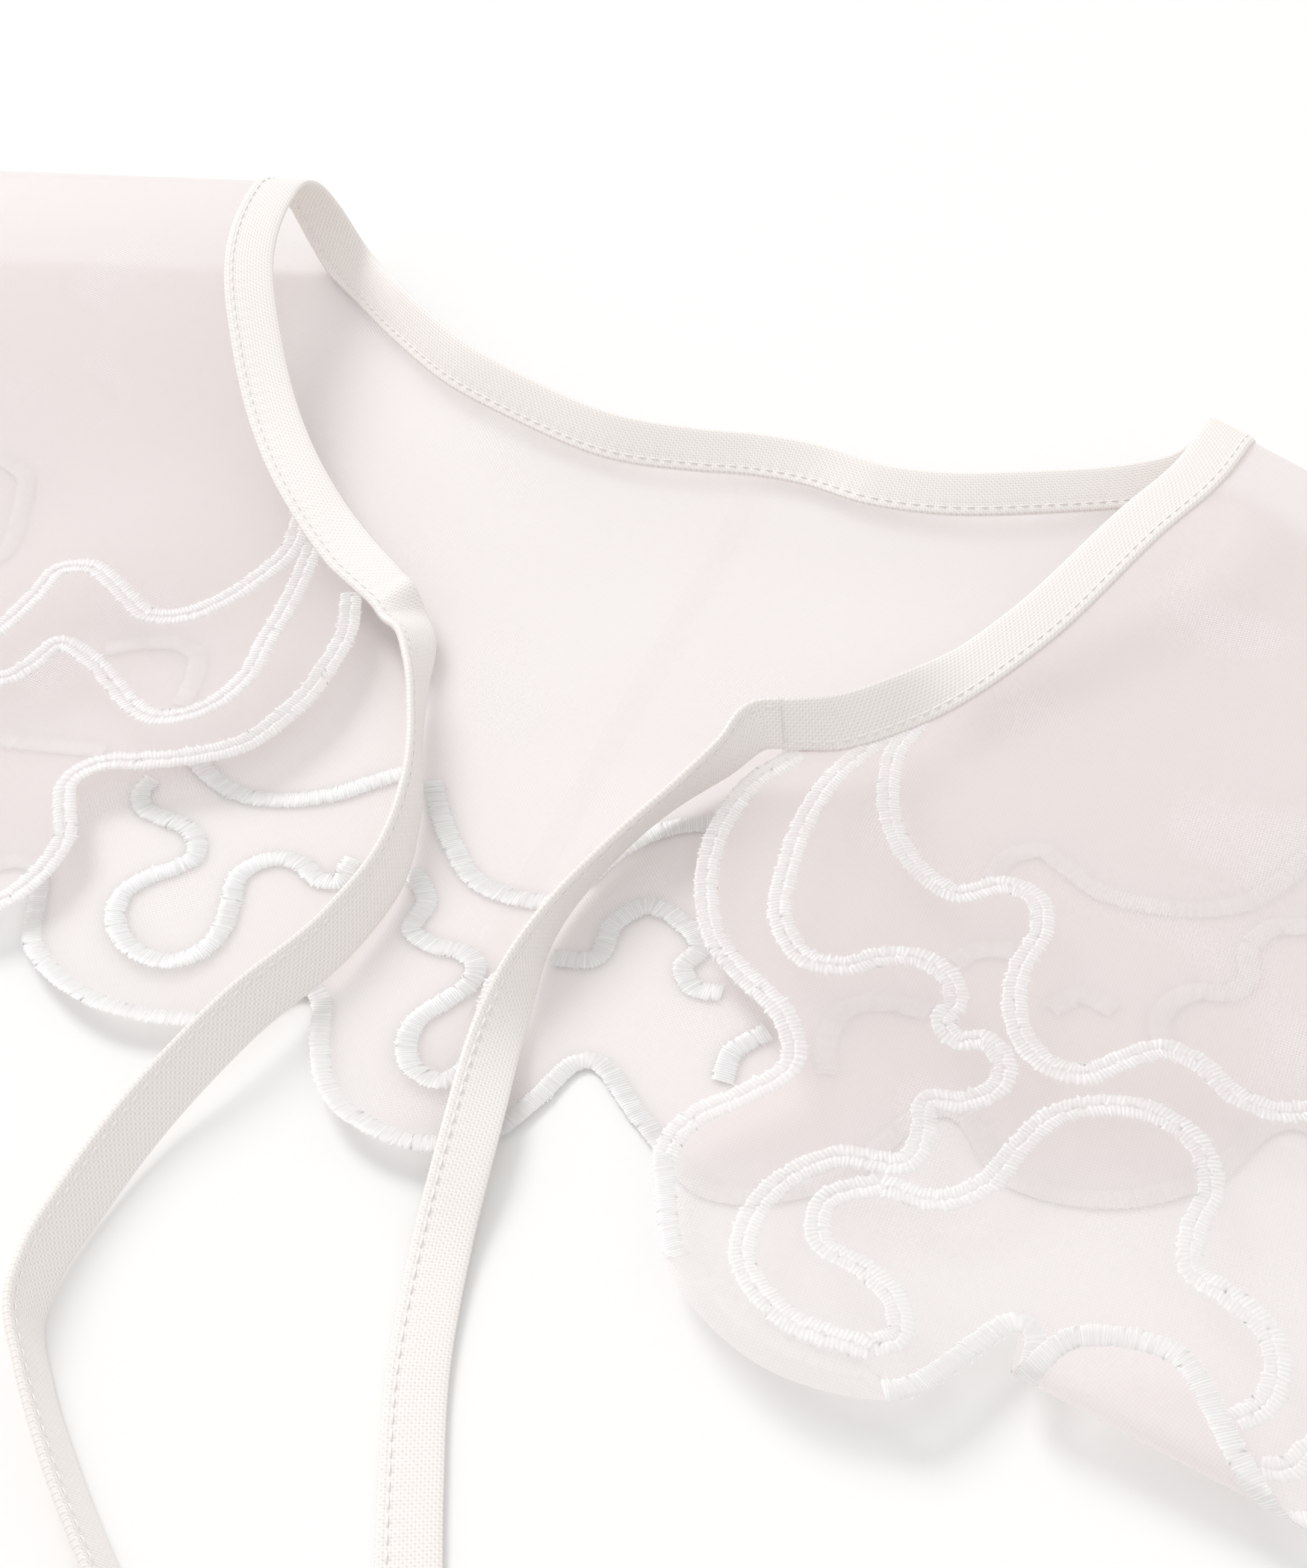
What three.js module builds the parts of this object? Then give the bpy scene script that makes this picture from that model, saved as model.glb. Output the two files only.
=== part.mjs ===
// A sheer detachable collar with two long ties, lying on a table with its front up.
// The cloth is two flat-cut halves, joined at the centre back and folded over at each shoulder.
// Millimetres, +Z up, +X to the wearer's left, +Y towards the centre back of the neck.

import * as THREE from 'three';

// Walls, widths and gaps
const clothWall = 1.0;
const stripWall = 1.6;
const bindingWide = 10.6;
const tieWide = 10.2;
const pieceGap = 0.3;
const tieLeadIn = 4.0;

// Fineness of the solids
const clothColumns = 74;
const clothRows = 15;
const foldCrowding = 0.45;
const hemCrowding = 1.25;
const tieSteps = 48;
const tangentStep = 0.004;

// The collar's own zero in this drawing is the centre back of the neck; the part's is under its middle
const middleX = -19.73;
const middleY = -115.11;

// Shoulder folds: a point on the crease as if pressed flat, its slope, the roll's radius,
// and how the top layer sinks from the roll to its resting height
const shoulders = {
  left: { side: -1, x: -140.0, y: 55.5, slope: 20, radius: 13.0, sink: 70, rest: 5.0 },
  right: { side: 1, x: 101.5, y: 55.0, slope: 22, radius: 9.0, sink: 60, rest: 5.0 },
};

// Neck edge of the cloth, back layer then top layer, as each is seen from above
const neckRows = {
  left: {
    back: [[-12, 3], [-30, -1], [-56, 2], [-77, 8], [-98, 20], [-115, 32], [-144, 54.2]],
    front: [[-136.4, 10.7], [-119, -17], [-95.4, -43.6], [-68.8, -64.2], [-57.5, -71.2]],
  },
  right: {
    back: [[11, 8.5], [27, 7], [43, 10], [64, 20], [80, 31], [102.5, 54.6]],
    front: [[98.6, 25], [91.7, 8.2], [77.6, -30], [62.2, -58.8], [49.3, -72.8], [40.7, -77.3]],
  },
};
const neckCentre = [0, 7];
const hemCentre = [10, -192.2];

// Hem scallops: the notch each one leaves, its tip, and how full it is before and after the tip
const scallopRows = {
  left: {
    back: [
      { notchX: -16.5, notchY: -167, tipX: -50, tipY: -187, before: 0.72, after: 0.72 },
      { notchX: -83, notchY: -161, tipX: -113, tipY: -173, before: 0.72, after: 0.72 },
      { notchX: -146, notchY: -148, tipX: -180, tipY: -148, before: 0.72, after: 0.72 },
      { notchX: -212, notchY: -118, tipX: -245, tipY: -108, before: 0.72, after: 0.72 },
      { notchX: -270, notchY: -65, tipX: -292, tipY: -45, before: 0.72, after: 0.72 },
    ],
    front: [
      { notchX: -300, notchY: -12, tipX: -301, tipY: -55, before: 0.72, after: 0.72 },
      { notchX: -279, notchY: -84, tipX: -275, tipY: -120, before: 0.72, after: 0.72 },
      { notchX: -239, notchY: -136, tipX: -215, tipY: -172, before: 0.72, after: 0.72 },
      { notchX: -187, notchY: -180, tipX: -160, tipY: -208, before: 0.72, after: 0.72 },
      { notchX: -139, notchY: -188, tipX: -112, tipY: -207, before: 0.72, after: 0.55 },
    ],
    end: [-77, -176],
  },
  right: {
    back: [
      { notchX: 36.5, notchY: -161, tipX: 67, tipY: -178, before: 0.42, after: 0.78 },
      { notchX: 99.5, notchY: -145, tipX: 128, tipY: -153, before: 0.72, after: 0.72 },
      { notchX: 155, notchY: -123, tipX: 183, tipY: -119, before: 0.72, after: 0.72 },
      { notchX: 204, notchY: -88, tipX: 228, tipY: -72, before: 0.72, after: 0.72 },
      { notchX: 243, notchY: -40, tipX: 255, tipY: -25, before: 0.72, after: 0.72 },
    ],
    front: [
      { notchX: 262, notchY: -14, tipX: 261.5, tipY: -50, before: 0.72, after: 0.72 },
      { notchX: 244, notchY: -80, tipX: 244, tipY: -118, before: 0.72, after: 0.72 },
      { notchX: 213, notchY: -142, tipX: 207, tipY: -180, before: 0.72, after: 0.72 },
      { notchX: 175, notchY: -200, tipX: 143, tipY: -215.5, before: 0.4, after: 0.85 },
      { notchX: 124.5, notchY: -185, tipX: 91, tipY: -208.7, before: 0.78, after: 0.74 },
    ],
    end: [56.4, -177],
  },
};

// The middle scallop of the back, half on each side of the seam
const middleScallop = {
  left: [[3, -190.5], [-3.5, -186], [-10, -177.5]],
  right: [[17, -192], [23.5, -189], [29.8, -181.5], [33.3, -171]],
};

// Front edges of the top layer, from the hem up to the neck
const frontEdges = {
  left: [
    [-77, -176], [-74.2, -169.5], [-73.2, -161], [-74.6, -153], [-79, -146.5], [-81.8, -141], [-79.5, -136.8],
    [-73.8, -134.1], [-64, -128.6], [-55.4, -120], [-52.3, -111], [-50.8, -101], [-51.3, -92], [-53.4, -80],
    [-57.5, -71.2],
  ],
  right: [
    [56.4, -177], [56.2, -171], [58, -165.5], [64.7, -156.6], [68.8, -149.5], [65.8, -143.5], [53.7, -135.4],
    [46.3, -130], [40.6, -121.5], [36.2, -110], [34.8, -98.7], [36.2, -86.5], [40.7, -77.3],
  ],
};

// Soft swells of the lying cloth: where, how long and wide, how turned, how high.
// Those of the back run on across its seam
const swells = [
  { half: 'both', layer: 'back', x: -75, y: 8, long: 45, wide: 14, turn: -30, rise: 3.5 },
  { half: 'both', layer: 'back', x: -22, y: -2, long: 34, wide: 13, turn: 0, rise: 2.2 },
  { half: 'both', layer: 'back', x: 20, y: 2, long: 34, wide: 13, turn: 0, rise: 2.2 },
  { half: 'both', layer: 'back', x: 62, y: 16, long: 34, wide: 14, turn: 25, rise: 3.0 },
  { half: 'both', layer: 'back', x: -50, y: -192, long: 34, wide: 18, turn: 8, rise: 4.0 },
  { half: 'both', layer: 'back', x: 9.5, y: -196, long: 26, wide: 18, turn: 0, rise: 4.5 },
  { half: 'left', layer: 'front', x: -66, y: -108, long: 30, wide: 16, turn: 70, rise: 2.5 },
  { half: 'left', layer: 'front', x: -115, y: -95, long: 50, wide: 22, turn: 60, rise: 2.0 },
  { half: 'left', layer: 'front', x: -200, y: -110, long: 60, wide: 25, turn: 40, rise: 3.0 },
  { half: 'right', layer: 'front', x: 66, y: -112, long: 42, wide: 16, turn: -70, rise: 2.5 },
  { half: 'right', layer: 'front', x: 95, y: -200, long: 30, wide: 20, turn: -10, rise: 3.0 },
  { half: 'right', layer: 'front', x: 125, y: -120, long: 55, wide: 24, turn: -55, rise: 2.5 },
  { half: 'right', layer: 'front', x: 190, y: -95, long: 60, wide: 25, turn: -45, rise: 2.5 },
];

// One scallop of the right front is turned up along this line
const turnUp = { x0: 125, y0: -191.3, x1: 172, y1: -198, from: 125, radius: 2.5, turn: 172 };

// How far the binding leans up from the cloth, from the centre back (0) to the front end (1)
const bindingLean = {
  left: [[0, 33], [0.15, 42], [0.35, 45], [0.46, 5], [0.56, 0], [0.7, 0], [0.9, 4], [1, 12]],
  right: [[0, 33], [0.2, 32], [0.38, 24], [0.46, 0], [0.6, 0], [0.8, 6], [0.92, 38], [1, 50]],
};

// Ties: centre line, height of what the lower edge rests on, and the lean of the strip
const tieRows = {
  left: [
    { x: -47.5, y: -71.5, rest: 4.6, lean: 10 }, { x: -43, y: -75.5, rest: 3.6, lean: 30 },
    { x: -36.4, y: -86.6, rest: 2.0, lean: 66 }, { x: -30, y: -99, rest: 1.4, lean: 80 },
    { x: -20.6, y: -118.5, rest: 1.4, lean: 74 }, { x: -15.8, y: -137.1, rest: 1.4, lean: 60 },
    { x: -16.5, y: -155, rest: 2.0, lean: 50 }, { x: -22.3, y: -180.7, rest: 3.6, lean: 46 },
    { x: -27, y: -205, rest: 1.0, lean: 46 }, { x: -27.5, y: -223.9, rest: 0, lean: 50 },
    { x: -26.5, y: -236, rest: 0, lean: 58 }, { x: -23.6, y: -245.2, rest: 0, lean: 64 },
    { x: -15.6, y: -254.5, rest: 0, lean: 66 }, { x: -3.7, y: -265.4, rest: 0, lean: 64 },
    { x: 18, y: -282.5, rest: 0, lean: 62 },
  ],
  right: [
    { x: 31, y: -85.5, rest: 3.0, lean: 80 }, { x: 27, y: -96, rest: 2.4, lean: 98 },
    { x: 21, y: -116, rest: 1.6, lean: 100 }, { x: 18, y: -137, rest: 1.4, lean: 84 },
    { x: 20, y: -160, rest: 1.8, lean: 38 }, { x: 25.8, y: -184, rest: 3.6, lean: 8 },
    { x: 31.5, y: -207, rest: 0.8, lean: 0 }, { x: 38.5, y: -228, rest: 0, lean: 0 },
    { x: 47.3, y: -247, rest: 0, lean: 0 }, { x: 58, y: -268, rest: 0, lean: 0 },
  ],
};

// Finishes
const organza = new THREE.MeshStandardMaterial({
  color: 0xece5e3, roughness: 0.55, metalness: 0, transparent: true, opacity: 0.55, side: THREE.DoubleSide,
});
const biasSatin = new THREE.MeshStandardMaterial({ color: 0xf4f0ed, roughness: 0.5, metalness: 0 });

const radians = (degrees) => degrees * Math.PI / 180;

// Smooth curve through rows of numbers; t runs from 0 to 1 by the distance between rows
function curveThrough(rows) {
  const at = [0];
  for (let i = 1; i < rows.length; i += 1) {
    at.push(at[i - 1] + Math.hypot(rows[i][0] - rows[i - 1][0], rows[i][1] - rows[i - 1][1]));
  }
  const last = rows.length - 1;
  const rate = (a, b, k) => (rows[b][k] - rows[a][k]) / (at[b] - at[a]);
  function slope(i, k) {
    if (i === 0) return rate(0, 1, k);
    if (i === last) return rate(last - 1, last, k);
    const before = at[i] - at[i - 1];
    const after = at[i + 1] - at[i];
    return (rate(i - 1, i, k) * after + rate(i, i + 1, k) * before) / (before + after);
  }
  function point(t) {
    const x = t * at[last];
    let i = 0;
    while (i < last - 1 && x > at[i + 1]) i += 1;
    const span = at[i + 1] - at[i];
    const f = (x - at[i]) / span;
    return rows[i].map((value, k) => (2 * f ** 3 - 3 * f ** 2 + 1) * value
      + (f ** 3 - 2 * f ** 2 + f) * slope(i, k) * span
      + (3 * f ** 2 - 2 * f ** 3) * rows[i + 1][k]
      + (f ** 3 - f ** 2) * slope(i + 1, k) * span);
  }
  return { point, length: at[last], at };
}

// Value of a table of [station, value] rows, eased from row to row
function easedValue(rows, t) {
  const next = rows.findIndex((row) => t <= row[0]);
  if (next <= 0) return rows[Math.max(next, 0)][1];
  const [t0, v0] = rows[next - 1];
  const [t1, v1] = rows[next];
  return v0 + (v1 - v0) * THREE.MathUtils.smoothstep(t, t0, t1);
}

// Directions of a shoulder fold: out along the crease, and in across the cloth
function foldAxes({ side, slope }) {
  const a = radians(slope);
  return {
    out: [side * Math.cos(a), -Math.sin(a)],
    inward: [-side * Math.sin(a), -Math.cos(a)],
  };
}

// A point of the top layer, seen from above, taken back to the flat cut
function unfolded(shoulder, [x, y]) {
  const { inward } = foldAxes(shoulder);
  const depth = (x - shoulder.x) * inward[0] + (y - shoulder.y) * inward[1];
  return [x - 2 * depth * inward[0], y - 2 * depth * inward[1]];
}

// Height that the swells add at a place of one layer
function swellHeight(half, layer, x, y) {
  let height = 0;
  for (const swell of swells) {
    if (swell.layer !== layer || (swell.half !== 'both' && swell.half !== half)) continue;
    const a = radians(swell.turn);
    const u = (x - swell.x) * Math.cos(a) + (y - swell.y) * Math.sin(a);
    const v = (y - swell.y) * Math.cos(a) - (x - swell.x) * Math.sin(a);
    height += swell.rise * Math.exp(-((u / swell.long) ** 2) - (v / swell.wide) ** 2);
  }
  return height;
}

// Turns up what lies beyond the fold line of the turned scallop
function turnedUp([x, y, z]) {
  const length = Math.hypot(turnUp.x1 - turnUp.x0, turnUp.y1 - turnUp.y0);
  const outX = (turnUp.y1 - turnUp.y0) / length;
  const outY = -(turnUp.x1 - turnUp.x0) / length;
  const beyond = (x - turnUp.x0) * outX + (y - turnUp.y0) * outY;
  if (x < turnUp.from || beyond <= 0) return [x, y, z];
  const angle = Math.min(beyond / turnUp.radius, radians(turnUp.turn));
  const straight = beyond - angle * turnUp.radius;
  const shift = turnUp.radius * Math.sin(angle) + straight * Math.cos(angle) - beyond;
  const lift = turnUp.radius * (1 - Math.cos(angle)) + straight * Math.sin(angle);
  return [x + outX * shift, y + outY * shift, z + lift];
}

// Where a point of the flat cut lies on the table: the middle of the cloth's thickness
function layAt(half, [p, q]) {
  const shoulder = shoulders[half];
  const { out, inward } = foldAxes(shoulder);
  const along = (p - shoulder.x) * out[0] + (q - shoulder.y) * out[1];
  const depth = (p - shoulder.x) * inward[0] + (q - shoulder.y) * inward[1];
  const layer = depth < 0 ? 'front' : 'back';
  const fromCrease = Math.abs(depth);
  const { radius } = shoulder;
  const rollHalf = Math.PI * radius / 2;
  let across = fromCrease;
  let z = 0;
  if (fromCrease < rollHalf) {
    const angle = depth / radius;
    across = rollHalf - radius * Math.cos(angle);
    z = radius * (1 - Math.sin(angle));
  } else if (layer === 'front') {
    const settle = Math.exp(-(((fromCrease - rollHalf) / shoulder.sink) ** 2));
    z = shoulder.rest + (2 * radius - shoulder.rest) * settle;
  }
  const x = shoulder.x + along * out[0] + across * inward[0];
  const y = shoulder.y + along * out[1] + across * inward[1];
  const place = [x, y, z + swellHeight(half, layer, x, y) + clothWall / 2];
  return half === 'right' && layer === 'front' ? turnedUp(place) : place;
}

// Hem points of one layer: each scallop swells from its notch round its tip to the next notch
function scallopPoints(rows, end) {
  const points = [];
  rows.forEach((row, i) => {
    const [nextX, nextY] = i + 1 < rows.length ? [rows[i + 1].notchX, rows[i + 1].notchY] : end;
    const swellX = row.tipX - (row.notchX + nextX) / 2;
    const swellY = row.tipY - (row.notchY + nextY) / 2;
    for (const [f, fullness] of [[0, 0], [0.2, row.before], [0.5, 1], [0.8, row.after]]) {
      points.push([
        row.notchX + (nextX - row.notchX) * f + swellX * fullness,
        row.notchY + (nextY - row.notchY) * f + swellY * fullness,
      ]);
    }
  });
  return points;
}

// The whole neck edge in the flat cut, from the left front end round the back to the right front end
const neckHalf = Object.fromEntries(['left', 'right'].map((half) => [
  half, [...neckRows[half].back, ...neckRows[half].front.map((point) => unfolded(shoulders[half], point))],
]));
const neckCurve = curveThrough([...neckHalf.left.toReversed(), neckCentre, ...neckHalf.right]);
const neckCentreAt = neckCurve.at[neckHalf.left.length] / neckCurve.length;

// A point of the neck edge in the flat cut; u runs from the centre back (0) to the front end (1)
function neckPoint(half, u) {
  return neckCurve.point(half === 'left' ? neckCentreAt * (1 - u) : neckCentreAt + (1 - neckCentreAt) * u);
}

// Hem and front edge of a half in the flat cut
function hemCurve(half) {
  const { back, front, end } = scallopRows[half];
  const shoulder = shoulders[half];
  const crease = [front[0].notchX, front[0].notchY];
  return curveThrough([
    hemCentre, ...middleScallop[half], ...scallopPoints(back, crease),
    ...scallopPoints(front, end).map((point) => unfolded(shoulder, point)), unfolded(shoulder, end),
  ]);
}

// Place on the straight line from notch to notch that goes with a station of the hem
function notchLine(half, hem) {
  const first = middleScallop[half].length + 1;
  const notches = [0, ...hem.at.filter((at, i) => i >= first && (i - first) % 4 === 0)].map((at) => at / hem.length);
  return (u) => {
    const i = Math.min(notches.findLastIndex((at) => at <= u), notches.length - 2);
    const f = (u - notches[i]) / (notches[i + 1] - notches[i]);
    const [before, after] = [hem.point(notches[i]), hem.point(notches[i + 1])];
    return [0, 1].map((k) => before[k] * (1 - f) + after[k] * f);
  };
}

function frontCurve(half) {
  return curveThrough(frontEdges[half].toReversed().map((point) => unfolded(shoulders[half], point)));
}

// Stations of the columns, closest together over the shoulder
function columnStation(i) {
  const even = i / clothColumns;
  return even + foldCrowding * Math.sin(2 * Math.PI * even) / (2 * Math.PI);
}

// Grid of places over a half, columns from the centre back to the front edge, rows from neck to hem
function clothPlaces(half) {
  const hem = hemCurve(half);
  const notched = notchLine(half, hem);
  const front = frontCurve(half);
  const { side } = shoulders[half];
  const neckEnd = neckPoint(half, 1);
  const hemEnd = hem.point(1);
  const places = [];
  for (let i = 0; i <= clothColumns; i += 1) {
    const u = columnStation(i);
    const neck = neckPoint(half, u);
    const hemPoint = hem.point(u);
    const chordPoint = notched(u);
    const column = [];
    for (let j = 0; j <= clothRows; j += 1) {
      const v = 1 - (1 - j / clothRows) ** hemCrowding;
      const edge = front.point(v);
      const cut = [0, 1].map((k) => {
        const straight = neckEnd[k] * (1 - v) + hemEnd[k] * v;
        const ruled = neck[k] * (1 - v) + chordPoint[k] * v + (hemPoint[k] - chordPoint[k]) * v ** 4;
        return ruled + (edge[k] - straight) * u ** 4;
      });
      if (i === 0) cut[0] += side * pieceGap / 2;
      column.push(new THREE.Vector3(...layAt(half, cut)));
    }
    places.push(column);
  }
  return places;
}

// A closed wall of even thickness round a grid of places
function wallFrom(places, wall) {
  const columns = places.length;
  const rows = places[0].length;
  const vertices = [];
  const faces = [];
  for (const sign of [1, -1]) {
    for (let i = 0; i < columns; i += 1) {
      for (let j = 0; j < rows; j += 1) {
        const across = places[Math.min(i + 1, columns - 1)][j].clone().sub(places[Math.max(i - 1, 0)][j]);
        const down = places[i][Math.min(j + 1, rows - 1)].clone().sub(places[i][Math.max(j - 1, 0)]);
        const normal = across.cross(down).normalize();
        vertices.push(...places[i][j].clone().addScaledVector(normal, sign * wall / 2).toArray());
      }
    }
  }
  const index = (side, i, j) => side * columns * rows + i * rows + j;
  const quad = (a, b, c, d) => faces.push(a, b, c, a, c, d);
  for (let i = 0; i < columns - 1; i += 1) {
    for (let j = 0; j < rows - 1; j += 1) {
      quad(index(0, i, j), index(0, i + 1, j), index(0, i + 1, j + 1), index(0, i, j + 1));
      quad(index(1, i, j), index(1, i, j + 1), index(1, i + 1, j + 1), index(1, i + 1, j));
    }
    quad(index(0, i, 0), index(1, i, 0), index(1, i + 1, 0), index(0, i + 1, 0));
    quad(index(0, i + 1, rows - 1), index(1, i + 1, rows - 1), index(1, i, rows - 1), index(0, i, rows - 1));
  }
  for (let j = 0; j < rows - 1; j += 1) {
    quad(index(0, 0, j + 1), index(1, 0, j + 1), index(1, 0, j), index(0, 0, j));
    quad(index(0, columns - 1, j), index(1, columns - 1, j), index(1, columns - 1, j + 1), index(0, columns - 1, j + 1));
  }
  return closedSolid(vertices, faces);
}

// A mesh with its faces turned outward
function closedSolid(vertices, faces) {
  let volume = 0;
  const corner = (i) => new THREE.Vector3().fromArray(vertices, 3 * i);
  for (let i = 0; i < faces.length; i += 3) {
    volume += corner(faces[i]).dot(corner(faces[i + 1]).cross(corner(faces[i + 2])));
  }
  const geometry = new THREE.BufferGeometry();
  geometry.setAttribute('position', new THREE.Float32BufferAttribute(vertices, 3));
  geometry.setIndex(volume > 0 ? faces : faces.toReversed());
  geometry.computeVertexNormals();
  return geometry;
}

// Binding: a place at a width w beyond the neck edge, leaning up from the cloth
function bindingPlace(half, u, w) {
  const before = neckPoint(half, Math.max(u - tangentStep, 0));
  const after = neckPoint(half, Math.min(u + tangentStep, 1));
  const length = Math.hypot(after[0] - before[0], after[1] - before[1]);
  const { side } = shoulders[half];
  const away = [-(after[1] - before[1]) / length * side, (after[0] - before[0]) / length * side];
  const edge = neckPoint(half, u);
  const lean = radians(easedValue(bindingLean[half], u));
  const foot = new THREE.Vector3(...layAt(half, edge));
  const level = new THREE.Vector3(...layAt(half, [edge[0] + away[0] * w, edge[1] + away[1] * w]));
  foot.lerp(level, Math.cos(lean));
  foot.z += w * Math.sin(lean);
  return foot;
}

// Widths of the binding's two edges: the inner one keeps clear of the cloth's wall
function bindingEdges(half, u) {
  const lean = radians(easedValue(bindingLean[half], u));
  return [pieceGap + (stripWall + clothWall) / 2 * Math.tan(lean / 2), bindingWide];
}

// First two rows of a tie, straight on from the front end of the binding
function tieStart(half) {
  const [inner, outer] = bindingEdges(half, 1);
  const middle = bindingPlace(half, 1, (inner + outer) / 2);
  const near = bindingPlace(half, 1 - tangentStep, (inner + outer) / 2);
  const ahead = middle.clone().sub(near).setZ(0).normalize();
  const lean = shoulders[half].side * easedValue(bindingLean[half], 1);
  return [pieceGap, tieLeadIn].map((distance) => {
    const { x, y, z } = middle.clone().addScaledVector(ahead, distance);
    return [x, y, z, lean];
  });
}

// Centre line of a tie: where its lower edge rests gives its height
function tieCurve(half) {
  const rows = tieRows[half].map(({ x, y, rest, lean }) => [
    x, y, rest + tieWide / 2 * Math.abs(Math.sin(radians(lean))) + stripWall / 2 * Math.abs(Math.cos(radians(lean))), lean,
  ]);
  return curveThrough([...tieStart(half), ...rows]);
}

function tiePlace(curve, t, w) {
  const before = curve.point(Math.max(t - tangentStep, 0));
  const after = curve.point(Math.min(t + tangentStep, 1));
  const length = Math.hypot(after[0] - before[0], after[1] - before[1]);
  const [x, y, z, leanDegrees] = curve.point(t);
  const lean = radians(leanDegrees);
  const sideX = (after[1] - before[1]) / length;
  const sideY = -(after[0] - before[0]) / length;
  return new THREE.Vector3(
    x + sideX * w * Math.cos(lean),
    y + sideY * w * Math.cos(lean),
    z + w * Math.sin(lean),
  );
}

const collar = new THREE.Group();
collar.position.set(-middleX, -middleY, 0);

function addPiece(name, geometry, material) {
  const mesh = new THREE.Mesh(geometry, material);
  mesh.name = name;
  collar.add(mesh);
}

// Organza halves
addPiece('collar_left', wallFrom(clothPlaces('left'), clothWall), organza);
addPiece('collar_right', wallFrom(clothPlaces('right'), clothWall), organza);

// Neck binding, one strip from the left front end round the back to the right front end
function bindingGeometry() {
  const section = (half, i) => {
    const u = columnStation(i);
    return bindingEdges(half, u).map((w) => bindingPlace(half, u, w));
  };
  const places = [];
  for (let i = clothColumns; i > 0; i -= 1) places.push(section('left', i));
  for (let i = 0; i <= clothColumns; i += 1) places.push(section('right', i));
  return wallFrom(places, stripWall);
}
addPiece('neck_binding', bindingGeometry(), biasSatin);

// Ties
function tieGeometry(half) {
  const curve = tieCurve(half);
  const places = [];
  for (let i = 0; i <= tieSteps; i += 1) {
    places.push([-tieWide / 2, tieWide / 2].map((w) => tiePlace(curve, i / tieSteps, w)));
  }
  return wallFrom(places, stripWall);
}
addPiece('tie_left', tieGeometry('left'), biasSatin);
addPiece('tie_right', tieGeometry('right'), biasSatin);

export default collar;
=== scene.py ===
# Sheer embroidered collar with two long ties, lying on a white table with its front folded over
import math

import bpy
import numpy as np
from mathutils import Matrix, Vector


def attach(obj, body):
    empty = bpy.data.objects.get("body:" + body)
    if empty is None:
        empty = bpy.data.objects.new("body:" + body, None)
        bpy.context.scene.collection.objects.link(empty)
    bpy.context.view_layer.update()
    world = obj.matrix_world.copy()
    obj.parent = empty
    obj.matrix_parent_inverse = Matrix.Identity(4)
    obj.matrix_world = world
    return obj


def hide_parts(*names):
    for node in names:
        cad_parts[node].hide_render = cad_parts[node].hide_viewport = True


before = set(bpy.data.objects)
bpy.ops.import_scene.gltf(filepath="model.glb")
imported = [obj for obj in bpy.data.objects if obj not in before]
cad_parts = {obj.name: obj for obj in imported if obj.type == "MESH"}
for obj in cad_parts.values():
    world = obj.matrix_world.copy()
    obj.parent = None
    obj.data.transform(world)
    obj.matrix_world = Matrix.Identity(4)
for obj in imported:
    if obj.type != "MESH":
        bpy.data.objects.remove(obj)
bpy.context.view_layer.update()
metre = 0.001  # the cloth's sizes and places are in millimetres
middle = np.array([-19.73, -115.11, 0.0])  # the part's zero, seen from the centre back of the neck


# Camera, at the photograph's angle, in metres

view = {
    "place": (0.17673, -0.28669, 0.34100),
    "target": (0.03807, 0.02476, 0.0),
    "lens": 55.71,
    "sensor": 36.0,
}


def addCamera():
    data = bpy.data.cameras.new("camera")
    data.lens = view["lens"]
    data.sensor_width = view["sensor"]
    camera = bpy.data.objects.new("camera", data)
    camera.location = view["place"]
    aim = Vector(view["target"]) - Vector(view["place"])
    camera.rotation_euler = aim.to_track_quat("-Z", "Y").to_euler()
    bpy.context.collection.objects.link(camera)
    bpy.context.scene.camera = camera


addCamera()


# How the cloth is cut and how it lies

clothWall = 1.0  # the solid's wall, whose middle the sheer cloth follows
pieceGap = 0.3  # between solids that meet
tangentStep = 0.004  # share of a curve, by which its direction is found

# Shoulder folds: a point on the crease as if pressed flat, its slope, the roll's radius,
# and how the top layer sinks from the roll to its resting height
shoulders = {
    "left": {"side": -1, "x": -140.0, "y": 55.5, "slope": 20, "radius": 13.0, "sink": 70, "rest": 5.0},
    "right": {"side": 1, "x": 101.5, "y": 55.0, "slope": 22, "radius": 9.0, "sink": 60, "rest": 5.0},
}

# Neck edge of the cloth, back layer then top layer, as each is seen from above
neckRows = {
    "left": {
        "back": [(-12, 3), (-30, -1), (-56, 2), (-77, 8), (-98, 20), (-115, 32), (-144, 54.2)],
        "front": [(-136.4, 10.7), (-119, -17), (-95.4, -43.6), (-68.8, -64.2), (-57.5, -71.2)],
    },
    "right": {
        "back": [(11, 8.5), (27, 7), (43, 10), (64, 20), (80, 31), (102.5, 54.6)],
        "front": [(98.6, 25), (91.7, 8.2), (77.6, -30), (62.2, -58.8), (49.3, -72.8), (40.7, -77.3)],
    },
}
neckCentre = (0, 7)
hemCentre = (10, -192.2)

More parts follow.
